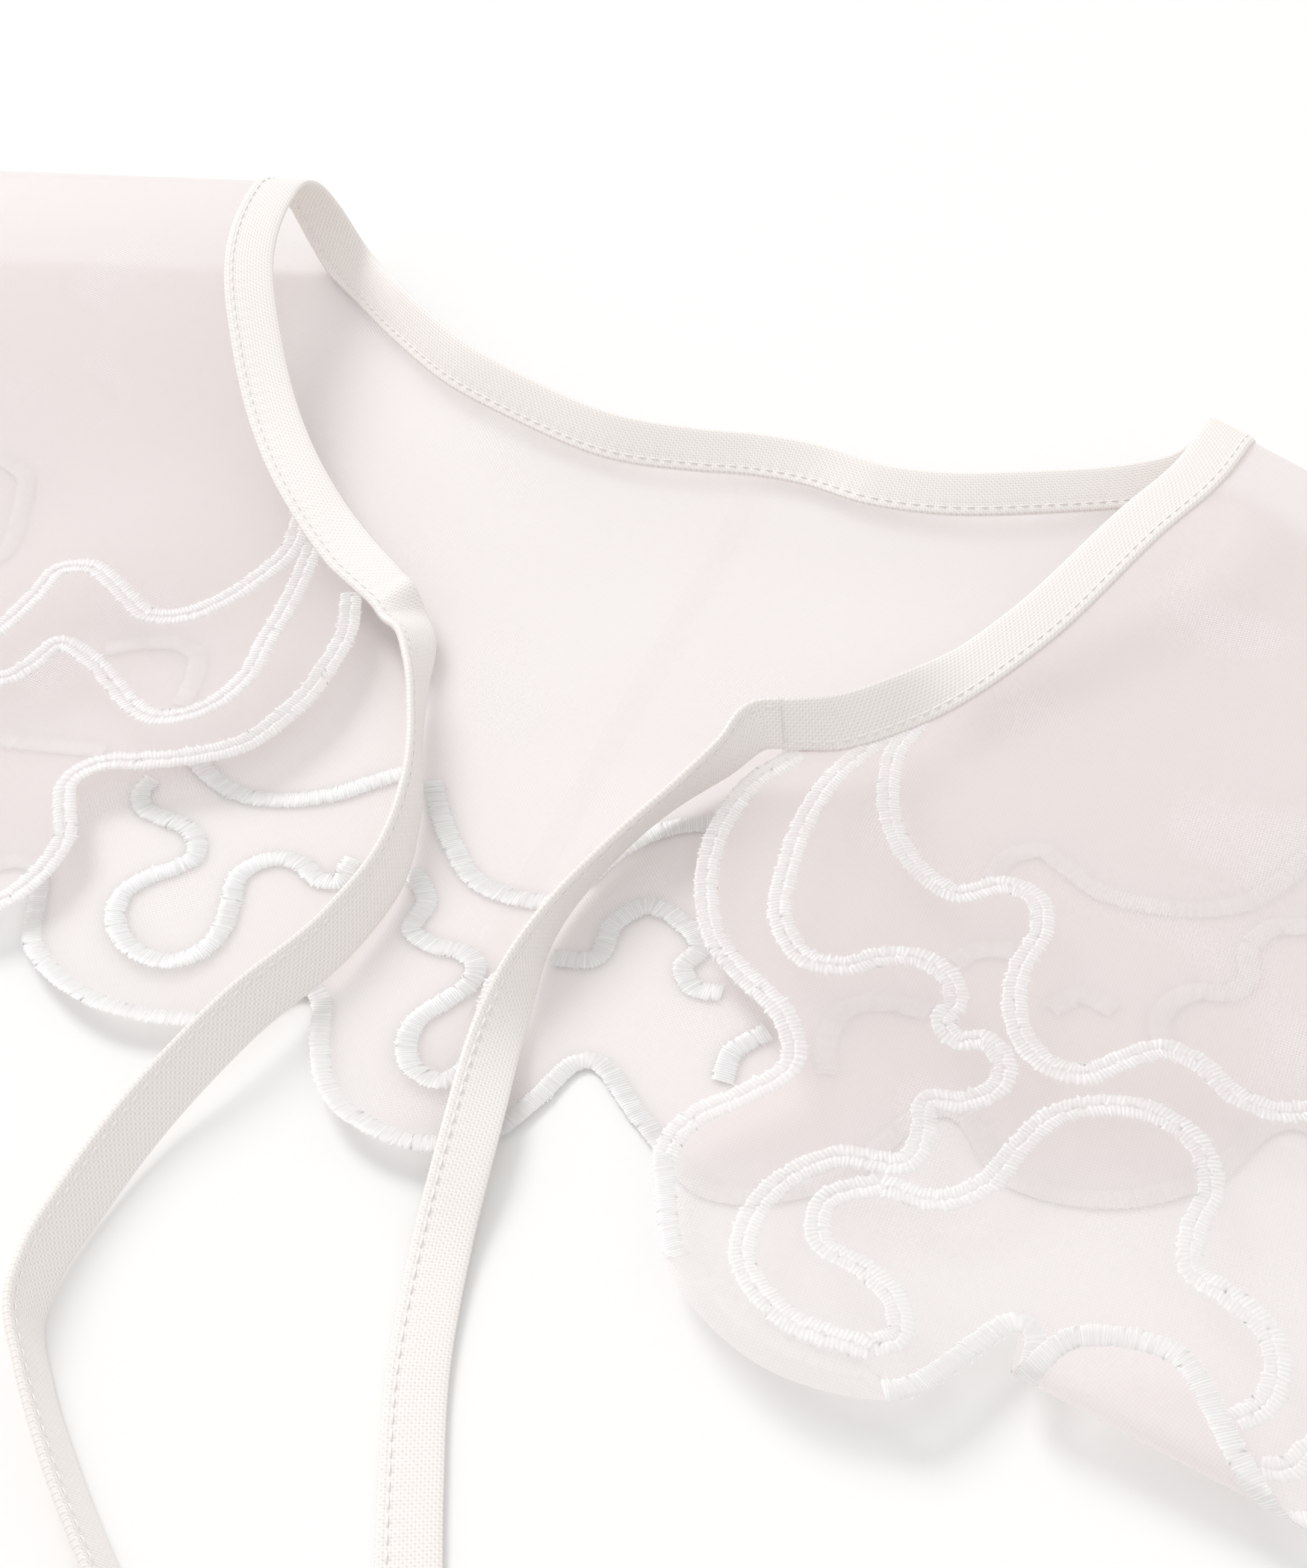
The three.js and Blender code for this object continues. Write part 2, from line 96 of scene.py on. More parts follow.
# Hem scallops: notch x, notch y, tip x, tip y, and for an uneven one its fullness before and after the tip
scallopFullness = 0.72
scallopRows = {
    "left": {
        "back": [
            (-16.5, -167, -50, -187), (-83, -161, -113, -173),
            (-146, -148, -180, -148), (-212, -118, -245, -108),
            (-270, -65, -292, -45),
        ],
        "front": [
            (-300, -12, -301, -55), (-279, -84, -275, -120),
            (-239, -136, -215, -172), (-187, -180, -160, -208),
            (-139, -188, -112, -207, 0.72, 0.55),
        ],
        "end": (-77, -176),
    },
    "right": {
        "back": [
            (36.5, -161, 67, -178, 0.42, 0.78), (99.5, -145, 128, -153),
            (155, -123, 183, -119), (204, -88, 228, -72),
            (243, -40, 255, -25),
        ],
        "front": [
            (262, -14, 261.5, -50), (244, -80, 244, -118),
            (213, -142, 207, -180), (175, -200, 143, -215.5, 0.4, 0.85),
            (124.5, -185, 91, -208.7, 0.78, 0.74),
        ],
        "end": (56.4, -177),
    },
}
middleScallop = {
    "left": [(3, -190.5), (-3.5, -186), (-10, -177.5)],
    "right": [(17, -192), (23.5, -189), (29.8, -181.5), (33.3, -171)],
}

# Front edges of the top layer, from the hem up to the neck
frontEdges = {
    "left": [
        (-77, -176), (-74.2, -169.5), (-73.2, -161), (-74.6, -153), (-79, -146.5), (-81.8, -141),
        (-79.5, -136.8), (-73.8, -134.1), (-64, -128.6), (-55.4, -120), (-52.3, -111), (-50.8, -101),
        (-51.3, -92), (-53.4, -80), (-57.5, -71.2),
    ],
    "right": [
        (56.4, -177), (56.2, -171), (58, -165.5), (64.7, -156.6), (68.8, -149.5), (65.8, -143.5),
        (53.7, -135.4), (46.3, -130), (40.6, -121.5), (36.2, -110), (34.8, -98.7), (36.2, -86.5),
        (40.7, -77.3),
    ],
}

# Soft swells of the lying cloth: half, layer, x, y, long, wide, turn, rise
swells = [
    ("both", "back", -75, 8, 45, 14, -30, 3.5), ("both", "back", -22, -2, 34, 13, 0, 2.2),
    ("both", "back", 20, 2, 34, 13, 0, 2.2), ("both", "back", 62, 16, 34, 14, 25, 3.0),
    ("both", "back", -50, -192, 34, 18, 8, 4.0), ("both", "back", 9.5, -196, 26, 18, 0, 4.5),
    ("left", "front", -66, -108, 30, 16, 70, 2.5), ("left", "front", -115, -95, 50, 22, 60, 2.0),
    ("left", "front", -200, -110, 60, 25, 40, 3.0), ("right", "front", 66, -112, 42, 16, -70, 2.5),
    ("right", "front", 95, -200, 30, 20, -10, 3.0), ("right", "front", 125, -120, 55, 24, -55, 2.5),
    ("right", "front", 190, -95, 60, 25, -45, 2.5),
]

# One scallop of the right front is turned up along this line
turnUp = {"x0": 125, "y0": -191.3, "x1": 172, "y1": -198, "fromX": 125, "radius": 2.5, "turn": 172}


# Smooth curve through rows of numbers; t runs from 0 to 1 by the distance between rows.
# The t of each row is given too
def curveThrough(rows):
    rows = np.array(rows, float)
    gap = np.hypot(rows[1:, 0] - rows[:-1, 0], rows[1:, 1] - rows[:-1, 1])
    at = np.concatenate([[0], np.cumsum(gap)])
    rate = (rows[1:] - rows[:-1]) / gap[:, None]
    before = gap[:-1, None]
    after = gap[1:, None]
    inner = (rate[:-1] * after + rate[1:] * before) / (before + after)
    slope = np.vstack([rate[:1], inner, rate[-1:]])

    def pointAt(t):
        x = np.clip(np.asarray(t, float), 0, 1) * at[-1]
        i = np.clip(np.searchsorted(at, x, side="right") - 1, 0, len(gap) - 1)
        f = ((x - at[i]) / gap[i])[..., None]
        span = gap[i][..., None]
        return (
            (2 * f**3 - 3 * f**2 + 1) * rows[i]
            + (f**3 - 2 * f**2 + f) * slope[i] * span
            + (3 * f**2 - 2 * f**3) * rows[i + 1]
            + (f**3 - f**2) * slope[i + 1] * span
        )

    return pointAt, at / at[-1]


# Value of a table of (station, value) rows, eased from row to row
def easedValue(rows, t):
    at, value = np.array(rows, float).T
    i = np.clip(np.searchsorted(at, t, side="right") - 1, 0, len(at) - 2)
    f = np.clip((t - at[i]) / (at[i + 1] - at[i]), 0, 1)
    return value[i] + (value[i + 1] - value[i]) * f * f * (3 - 2 * f)


# Places at the stations t along a row of places, whose own stations are at
def placesAlong(places, at, t):
    return np.stack([np.interp(t, at, places[:, k]) for k in range(places.shape[1])], -1)


# Distance of each place from the first, along the line through them
def lineLength(places):
    gap = np.linalg.norm(np.diff(places, axis=0), axis=1)
    return np.concatenate([[0], np.cumsum(gap)])


# Directions of a shoulder fold: out along the crease, and in across the cloth
def foldAxes(shoulder):
    a = math.radians(shoulder["slope"])
    side = shoulder["side"]
    out = np.array([side * math.cos(a), -math.sin(a)])
    inward = np.array([-side * math.sin(a), -math.cos(a)])
    return out, inward


# A point of the top layer, seen from above, taken back to the flat cut
def unfolded(half, points):
    shoulder = shoulders[half]
    inward = foldAxes(shoulder)[1]
    points = np.array(points, float)
    depth = (points - [shoulder["x"], shoulder["y"]]) @ inward
    return points - 2 * depth[..., None] * inward


# Height that the swells add; those of the back layer run on across its seam
def swellHeight(half, isFront, x, y):
    height = np.zeros_like(x)
    for ofHalf, layer, swellX, swellY, long, wide, turn, rise in swells:
        a = math.radians(turn)
        u = (x - swellX) * math.cos(a) + (y - swellY) * math.sin(a)
        v = (y - swellY) * math.cos(a) - (x - swellX) * math.sin(a)
        swell = rise * np.exp(-((u / long) ** 2) - (v / wide) ** 2)
        if layer == "back":
            height += np.where(isFront, 0, swell)
        elif ofHalf == half:
            height += np.where(isFront, swell, 0)
    return height


# Turns up what lies beyond the fold line of the turned scallop
def turnedUp(place):
    length = math.hypot(turnUp["x1"] - turnUp["x0"], turnUp["y1"] - turnUp["y0"])
    outX = (turnUp["y1"] - turnUp["y0"]) / length
    outY = -(turnUp["x1"] - turnUp["x0"]) / length
    x, y, z = place[..., 0], place[..., 1], place[..., 2]
    beyond = (x - turnUp["x0"]) * outX + (y - turnUp["y0"]) * outY
    beyond = np.where(x < turnUp["fromX"], 0, np.maximum(beyond, 0))
    radius = turnUp["radius"]
    angle = np.minimum(beyond / radius, math.radians(turnUp["turn"]))
    straight = beyond - angle * radius
    shift = radius * np.sin(angle) + straight * np.cos(angle) - beyond
    lift = radius * (1 - np.cos(angle)) + straight * np.sin(angle)
    return np.stack([x + outX * shift, y + outY * shift, z + lift], -1)


# Where points of the flat cut lie on the table
def layAt(half, cut):
    shoulder = shoulders[half]
    out, inward = foldAxes(shoulder)
    corner = np.array([shoulder["x"], shoulder["y"]])
    along = (cut - corner) @ out
    depth = (cut - corner) @ inward
    radius = shoulder["radius"]
    rollHalf = math.pi * radius / 2
    fromCrease = np.abs(depth)
    isFront = depth < 0
    angle = np.clip(depth / radius, -math.pi / 2, math.pi / 2)
    onRoll = fromCrease < rollHalf
    across = np.where(onRoll, rollHalf - radius * np.cos(angle), fromCrease)
    settle = np.exp(-(((fromCrease - rollHalf) / shoulder["sink"]) ** 2))
    resting = np.where(isFront, shoulder["rest"] + (2 * radius - shoulder["rest"]) * settle, 0)
    z = np.where(onRoll, radius * (1 - np.sin(angle)), resting)
    flat = corner + along[..., None] * out + across[..., None] * inward
    x, y = flat[..., 0], flat[..., 1]
    z = z + swellHeight(half, isFront, x, y) + clothWall / 2
    place = np.stack([x, y, z], -1)
    if half == "right":
        place = np.where(isFront[..., None], turnedUp(place), place)
    return place


# The lying place and the cloth's normal, which points away from the embroidered side
def layWithNormal(half, cut, reach=0.05):
    place = layAt(half, cut)
    alongP = layAt(half, cut + [reach, 0]) - layAt(half, cut - [reach, 0])
    alongQ = layAt(half, cut + [0, reach]) - layAt(half, cut - [0, reach])
    normal = np.cross(alongP, alongQ)
    return place, normal / np.linalg.norm(normal, axis=-1, keepdims=True)


scallopStations = (0, 0.2, 0.5, 0.8)  # of a scallop's points, as shares of the way to the next notch


# Hem points of one layer: each scallop swells from its notch round its tip to the next notch
def scallopPoints(rows, end):
    points = []
    notches = [row[:2] for row in rows[1:]] + [end]
    for (notchX, notchY, tipX, tipY, *uneven), (nextX, nextY) in zip(rows, notches):
        before, after = uneven or (scallopFullness, scallopFullness)
        swellX = tipX - (notchX + nextX) / 2
        swellY = tipY - (notchY + nextY) / 2
        for f, fullness in zip(scallopStations, (0, before, 1, after)):
            x = notchX + (nextX - notchX) * f + swellX * fullness
            y = notchY + (nextY - notchY) * f + swellY * fullness
            points.append((x, y))
    return points


def neckHalf(half):
    rows = neckRows[half]
    return rows["back"] + unfolded(half, rows["front"]).tolist()


leftNeck = neckHalf("left")
neckAt, neckStations = curveThrough(leftNeck[::-1] + [neckCentre] + neckHalf("right"))
neckCentreAt = neckStations[len(leftNeck)]


# A point of the neck edge in the flat cut; u runs from the centre back (0) to the front end (1)
def neckPoint(half, u):
    return neckAt(neckCentreAt * (1 - u) if half == "left" else neckCentreAt + (1 - neckCentreAt) * u)


# Hem of a half in the flat cut, from the centre back to the front corner
def hemCurve(half):
    rows = scallopRows[half]
    crease = rows["front"][0][:2]
    points = [hemCentre] + middleScallop[half] + scallopPoints(rows["back"], crease)
    points += unfolded(half, scallopPoints(rows["front"], rows["end"])).tolist()
    points += [unfolded(half, rows["end"]).tolist()]
    return curveThrough(points)


def frontCurve(half):
    return curveThrough(unfolded(half, frontEdges[half][::-1]))[0]


hems = {}
hemStations = {}
fronts = {}
for half in shoulders:
    hems[half], hemStations[half] = hemCurve(half)
    fronts[half] = frontCurve(half)


# Place on the straight line from notch to notch that goes with a station of the hem
def notchLine(half, u):
    firstNotch = len(middleScallop[half]) + 1
    notches = np.concatenate([[0], hemStations[half][firstNotch::len(scallopStations)]])
    return placesAlong(hems[half](notches), notches, u)


edgePower = 4  # the shapes of the hem and the front edge fade into the cloth by this power


# A point of the flat cut, by its share u from the centre back to the front and v from neck to hem
def cutAt(half, u, v):
    u, v = np.broadcast_arrays(np.asarray(u, float), np.asarray(v, float))
    share = v[..., None]
    chord = notchLine(half, u)
    ruled = neckPoint(half, u) * (1 - share) + chord * share + (hems[half](u) - chord) * share**edgePower
    straight = neckPoint(half, 1) * (1 - share) + hems[half](1) * share
    return ruled + (fronts[half](v) - straight) * u[..., None] ** edgePower


# Meshes

def addObject(name, vertices, faces, material):
    mesh = bpy.data.meshes.new(name)
    points = (np.asarray(vertices).reshape(-1, 3) - middle) * metre
    mesh.from_pydata(points.tolist(), [], faces)
    mesh.materials.append(material)
    mesh.shade_smooth()
    piece = bpy.data.objects.new(name, mesh)
    bpy.context.collection.objects.link(piece)
    return piece


def gridFaces(columns, rows, first=0):
    i, j = np.meshgrid(np.arange(columns - 1), np.arange(rows - 1), indexing="ij")
    a = (first + i * rows + j).ravel()
    return np.stack([a, a + rows, a + rows + 1, a + 1], -1).tolist()


# Faces of a closed band: rings of the same number of points, with the two ends filled
def bandFaces(rings, around, first=0):
    i, j = np.meshgrid(np.arange(rings - 1), np.arange(around), indexing="ij")
    a = (first + i * around + j).ravel()
    b = (first + i * around + (j + 1) % around).ravel()
    faces = np.stack([a, b, b + around, a + around], -1).tolist()
    last = first + (rings - 1) * around
    return faces + [list(range(first + around - 1, first - 1, -1)), list(range(last, last + around))]


def addAttribute(piece, name, values):
    attribute = piece.data.attributes.new(name, "FLOAT_VECTOR", "POINT")
    attribute.data.foreach_set("vector", np.asarray(values, np.float32).ravel())


# Materials

def linearColour(text):
    channels = [int(text[i : i + 2], 16) / 255 for i in (1, 3, 5)]
    return [c / 12.92 if c <= 0.04045 else ((c + 0.055) / 1.055) ** 2.4 for c in channels] + [1.0]


def newMaterial(name):
    material = bpy.data.materials.new(name)
    material.use_nodes = True
    material.node_tree.nodes.clear()
    return material, material.node_tree


# Adds a node; an input is either a value or another node's output
def addNode(tree, kind, inputs=None, **settings):
    node = tree.nodes.new(kind)
    for name, value in settings.items():
        setattr(node, name, value)
    for name, value in (inputs or {}).items():
        if isinstance(value, bpy.types.NodeSocket):
            tree.links.new(value, node.inputs[name])
        else:
            node.inputs[name].default_value = value
    return node


# Two sets of threads that cross, a gap apart: the wave of the first, and the height where both cross
def crossedThreads(tree, ways, gap):
    waves = []
    for way in ways:
        angle = addNode(tree, "ShaderNodeMath", {0: way, 1: 2 * math.pi / gap}, operation="MULTIPLY")
        wave = addNode(tree, "ShaderNodeMath", {0: angle.outputs[0]}, operation="SINE")
        waves.append(wave.outputs[0])
    crossing = addNode(tree, "ShaderNodeMath", {0: waves[0], 1: waves[1]}, operation="MULTIPLY")
    return waves[0], crossing.outputs[0]


organza = {
    "colour": "#f8f1f0",
    "through": "#fdf9f8",  # of the light that comes through the threads
    # colour of the painted glints
    "bright": "#ffffff",
    "roughness": 0.45,
    "ior": 1.54,
    "cover": 0.6,  # share of light that the threads stop
    "seamCover": 0.09,  # what the seam allowances stop besides
    "glow": 0.47,  # share of a thread's light that comes through it
    "threadGap": 0.85,  # mm; the real 0.45 mm is too fine to show
    "weave": 0.03,  # how far the cover changes from thread to thread
    "haze": 0.12,  # how far it changes over a cloud
    # Painted glints: the glint mask below mixes the bright colour into the cloth's own and adds to the cover
    "glint": 0.34,  # what a glint adds to the cover
    "glintDots": (0.05, 0.8),  # height of the crossing threads where a glint starts, and is full
    "cloudSize": 38.0,  # mm; the glints stand in rows along the rims of clouds
    "cloudDetail": 0.6,
    "rims": 3.4,  # in the depth of a cloud
    "rimFrom": 0.45,
    "patchesFiner": 1.7,  # finer than the clouds: the patches that have glints
    "patchEdge": (0.46, 0.58),
}


# Polyester organza, plain woven of fine twisted filament: sheer and crisp. The rows of glints that the real
# cloth shows where it bends are painted highlights here: white mixed into the colour, and cover added, at the
# thread crossings in patches along the rims of noise clouds
def polyesterOrganza(name, cover):
    material, tree = newMaterial(name)
    cut = addNode(tree, "ShaderNodeAttribute", attribute_name="cutPlace")
    axes = addNode(tree, "ShaderNodeSeparateXYZ", {0: cut.outputs["Vector"]})
    crossing = crossedThreads(tree, axes.outputs[:2], organza["threadGap"])[1]
    scale = 1 / organza["cloudSize"]
    cloud = addNode(tree, "ShaderNodeTexNoise", {
        "Vector": cut.outputs["Vector"],
        "Scale": scale,
        "Detail": organza["cloudDetail"],
    })
    depth = addNode(tree, "ShaderNodeMath", {
        0: cloud.outputs["Fac"], 1: organza["rims"],
    }, operation="MULTIPLY")
    rims = addNode(tree, "ShaderNodeMath", {0: depth.outputs[0], 1: 1.0}, operation="PINGPONG")
    rim = addNode(tree, "ShaderNodeMapRange", {"Value": rims.outputs[0], 1: organza["rimFrom"], 2: 1.0})
    patches = addNode(tree, "ShaderNodeTexNoise", {
        "Vector": cut.outputs["Vector"],
        "Scale": scale * organza["patchesFiner"],
        "Detail": 0.0,
    })
    patchFrom, patchTo = organza["patchEdge"]
    patch = addNode(tree, "ShaderNodeMapRange", {"Value": patches.outputs["Fac"], 1: patchFrom, 2: patchTo})
    # painted glint mask: the rims of the clouds within the patches, only at the thread crossings
    place = addNode(tree, "ShaderNodeMath", {0: rim.outputs[0], 1: patch.outputs[0]}, operation="MULTIPLY")
    dotFrom, dotTo = organza["glintDots"]
    dots = addNode(tree, "ShaderNodeMapRange", {"Value": crossing, 1: dotFrom, 2: dotTo})
    glint = addNode(tree, "ShaderNodeMath", {0: dots.outputs[0], 1: place.outputs[0]}, operation="MULTIPLY")
    haze = addNode(tree, "ShaderNodeMath", {
        0: cloud.outputs["Fac"], 1: organza["haze"], 2: cover - organza["haze"] / 2,
    }, operation="MULTIPLY_ADD")
    woven = addNode(tree, "ShaderNodeMath", {
        0: crossing, 1: organza["weave"], 2: haze.outputs[0],
    }, operation="MULTIPLY_ADD")
    shown = addNode(tree, "ShaderNodeMath", {
        0: glint.outputs[0], 1: organza["glint"], 2: woven.outputs[0],
    }, operation="MULTIPLY_ADD", use_clamp=True)
    # painted highlight: the cloth's colour turns white where the glint mask is
    colour = addNode(tree, "ShaderNodeMix", {
        "Factor": glint.outputs[0],
        6: linearColour(organza["colour"]),
        7: linearColour(organza["bright"]),
    }, data_type="RGBA")
    body = addNode(tree, "ShaderNodeBsdfPrincipled", {
        "Base Color": colour.outputs[2],
        "Roughness": organza["roughness"],
        "IOR": organza["ior"],
    })
    glow = addNode(tree, "ShaderNodeBsdfTranslucent", {"Color": linearColour(organza["through"])})
    threads = addNode(tree, "ShaderNodeMixShader", {
        0: organza["glow"], 1: body.outputs[0], 2: glow.outputs[0],
    })
    holes = addNode(tree, "ShaderNodeBsdfTransparent")
    cloth = addNode(tree, "ShaderNodeMixShader", {
        0: shown.outputs[0], 1: holes.outputs[0], 2: threads.outputs[0],
    })
    addNode(tree, "ShaderNodeOutputMaterial", {"Surface": cloth.outputs[0]})
    return material


thread = {
    "colour": "#ffffff",
    "between": "#f6f5f4",
    "roughness": 0.5,
    "ior": 1.53,
    "silk": 0.12,  # share of the light that its straight fibres mirror, as metallic
    "streak": 0.8,
    "glow": 0.1,
}


# Viscose rayon thread, satin stitched: its fibres lie straight across the line, so it flashes white
# where they face the window and goes grey where they point at it; the cloth shows in the gaps
def rayonThread():
    material, tree = newMaterial("viscose rayon thread, satin stitched")
    stitch = addNode(tree, "ShaderNodeAttribute", attribute_name="stitch")
    parts = addNode(tree, "ShaderNodeSeparateXYZ", {0: stitch.outputs["Vector"]})
    lineWay = addNode(tree, "ShaderNodeAttribute", attribute_name="lineWay")  # light spreads this way
    colour = addNode(tree, "ShaderNodeMix", {
        "Factor": parts.outputs[2],
        6: linearColour(thread["between"]),
        7: linearColour(thread["colour"]),
    }, data_type="RGBA")
    body = addNode(tree, "ShaderNodeBsdfPrincipled", {
        "Base Color": colour.outputs[2],
        "Roughness": thread["roughness"],
        "Metallic": thread["silk"],
        "Anisotropic": thread["streak"],
        "IOR": thread["ior"],
        "Tangent": lineWay.outputs["Vector"],
    })
    glow = addNode(tree, "ShaderNodeBsdfTranslucent", {"Color": linearColour(thread["colour"])})
    fibres = addNode(tree, "ShaderNodeMixShader", {
        0: thread["glow"], 1: body.outputs[0], 2: glow.outputs[0],
    })
    gaps = addNode(tree, "ShaderNodeBsdfTransparent")
    line = addNode(tree, "ShaderNodeMixShader", {
        0: parts.outputs[1], 1: gaps.outputs[0], 2: fibres.outputs[0],
    })
    addNode(tree, "ShaderNodeOutputMaterial", {"Surface": line.outputs[0]})
    return material


tapeFinish = {
    "colour": "#fcf8f5",
    "hollow": "#e8e0da",  # between the threads
    "roughness": 0.5,
    "ior": 1.54,
    "sheen": 0.2,
    "threadGap": 0.85,  # mm; drawn coarse enough to show
    "oneWay": 0.5,  # how far the threads of one slant stand out
    "weaveRange": (-1.2, 0.9),  # height of the weave that is darkest, and lightest
    "bump": 0.3,
    "bumpDepth": 0.0001,  # m
}


# Polyester taffeta cut on the bias and pressed: fine crossed threads that run slantwise, a low sheen
def polyesterTaffeta():
    material, tree = newMaterial("polyester taffeta, bias cut and pressed")
    place = addNode(tree, "ShaderNodeAttribute", attribute_name="tapePlace")
    axes = addNode(tree, "ShaderNodeSeparateXYZ", {0: place.outputs["Vector"]})
    slants = []
    for operation in ("ADD", "SUBTRACT"):
        slant = addNode(tree, "ShaderNodeMath", {0: axes.outputs[0], 1: axes.outputs[1]}, operation=operation)
        slants.append(slant.outputs[0])
    wave, crossing = crossedThreads(tree, slants, tapeFinish["threadGap"] * math.sqrt(2))
    weave = addNode(tree, "ShaderNodeMath", {
        0: wave, 1: tapeFinish["oneWay"], 2: crossing,
    }, operation="MULTIPLY_ADD")
    darkest, lightest = tapeFinish["weaveRange"]
    high = addNode(tree, "ShaderNodeMapRange", {"Value": weave.outputs[0], 1: darkest, 2: lightest})
    colour = addNode(tree, "ShaderNodeMix", {
        "Factor": high.outputs[0],
        6: linearColour(tapeFinish["hollow"]),
        7: linearColour(tapeFinish["colour"]),
    }, data_type="RGBA")
    bump = addNode(tree, "ShaderNodeBump", {
        "Height": weave.outputs[0],
        "Strength": tapeFinish["bump"],
        "Distance": tapeFinish["bumpDepth"],
    })
    body = addNode(tree, "ShaderNodeBsdfPrincipled", {
        "Base Color": colour.outputs[2],
        "Roughness": tapeFinish["roughness"],
        "IOR": tapeFinish["ior"],
        "Sheen Weight": tapeFinish["sheen"],
        "Normal": bump.outputs[0],
    })
    addNode(tree, "ShaderNodeOutputMaterial", {"Surface": body.outputs[0]})
    return material


sewing = {"colour": "#f7f3f1", "roughness": 0.6}
table = {"colour": "#f7f6f5", "roughness": 0.8, "reach": 4, "height": -0.0002}  # sizes in metres


# An even finish without a pattern: spun polyester sewing thread, matched to the strip and matt,
# and a painted table top, more matt still
def evenFinish(name, look):
    material, tree = newMaterial(name)
    body = addNode(tree, "ShaderNodeBsdfPrincipled", {
        "Base Color": linearColour(look["colour"]),
        "Roughness": look["roughness"],
    })
    addNode(tree, "ShaderNodeOutputMaterial", {"Surface": body.outputs[0]})
    return material


organzaCloth = polyesterOrganza("polyester organza, plain woven", organza["cover"])
seamCloth = polyesterOrganza("polyester organza, seam allowance", organza["seamCover"])
threadFinish = rayonThread()
tapeCloth = polyesterTaffeta()
sewnThread = evenFinish("spun polyester sewing thread", sewing)
paintedTable = evenFinish("painted table, matt", table)
print("materials made")


# Sheer halves

cloth = {"columns": 600, "rows": 140}


# The flat cut's own places, for the weave
def addCutPlace(piece, cut):
    addAttribute(piece, "cutPlace", np.concatenate([cut, np.zeros(cut.shape[:2] + (1,))], -1))


# A half, with the size and the area of its flat cut in metres
def addCloth(half):
    u = np.linspace(0, 1, cloth["columns"] + 1)[:, None]
    v = np.linspace(0, 1, cloth["rows"] + 1)[None, :]
    cut = cutAt(half, u, v)
    faces = gridFaces(cloth["columns"] + 1, cloth["rows"] + 1)
    piece = addObject("cloth_" + half, layAt(half, cut), faces, organzaCloth)
    addCutPlace(piece, cut)
    diagonal = cut[1:, 1:] - cut[:-1, :-1]
    other = cut[:-1, 1:] - cut[1:, :-1]
    area = np.abs(diagonal[..., 0] * other[..., 1] - diagonal[..., 1] * other[..., 0]).sum() / 2
    size = cut.reshape(-1, 2).max(0) - cut.reshape(-1, 2).min(0)
    return piece, (size * metre).tolist(), area * metre**2


# Stitched bands

rng = np.random.default_rng(7)

# Section of a band: share of its half width, share of its height
bandProfile = np.array([(-1.0, 0.08), (-0.8, 0.7), (-0.3, 1.0), (0.3, 1.0), (0.8, 0.7), (1.0, 0.08)])

# How the stitches of every band change: shares of a ring's place, height, cover and brightness;
# the slow ones go up and down every few millimetres
stitchChange = {
    "place": 0.24, "height": 0.06, "cover": 0.12, "coverLeast": 0.82, "coverSlow": 0.36,
    "bright": 0.2, "brightLeast": 0.7, "brightSlow": 0.3, "slowEvery": 6.0,
}
lineReach = 1.5  # mm to either side, by which a line's direction is found

# Rings between two threads: share of the band's width, brightness
betweenThreads = {"width": 0.9, "bright": 0.3}


def densePoints(pointAt, count):
    return pointAt(np.linspace(0, 1, count))


# Random value that changes slowly along a line
def slowChange(run):
    spacing = stitchChange["slowEvery"]
    knots = rng.random(int(run[-1] / spacing) + 3)
    return np.interp(run / spacing, np.arange(len(knots)), knots)


# How much of the cloth each ring covers and how bright it is
def stitchLook(run, isThread, kind):
    slow = slowChange(run)
    uneven = stitchChange["cover"] * rng.standard_normal(len(run))
    cover = kind["cover"] * (stitchChange["coverLeast"] + stitchChange["coverSlow"] * slow + uneven)
    cover = np.clip(np.where(isThread, cover, kind["between"] * kind["cover"]), 0, 1)
    uneven = stitchChange["bright"] * rng.standard_normal(len(run))
    bright = stitchChange["brightLeast"] + stitchChange["brightSlow"] * slow + uneven
    bright = np.where(isThread, np.clip(bright, 0, 1), betweenThreads["bright"])
    return cover, bright


# Centre of a band at distances run along its line, and the ways along and across it
def bandAxes(line, length, run):
    centre = placesAlong(line, length, run)
    before = placesAlong(line, length, np.clip(run - lineReach, 0, length[-1]))
    after = placesAlong(line, length, np.clip(run + lineReach, 0, length[-1]))
    ahead = (after - before) / np.linalg.norm(after - before, axis=1, keepdims=True)
    beside = np.stack([-ahead[:, 1], ahead[:, 0]], -1)
    return centre, ahead, beside


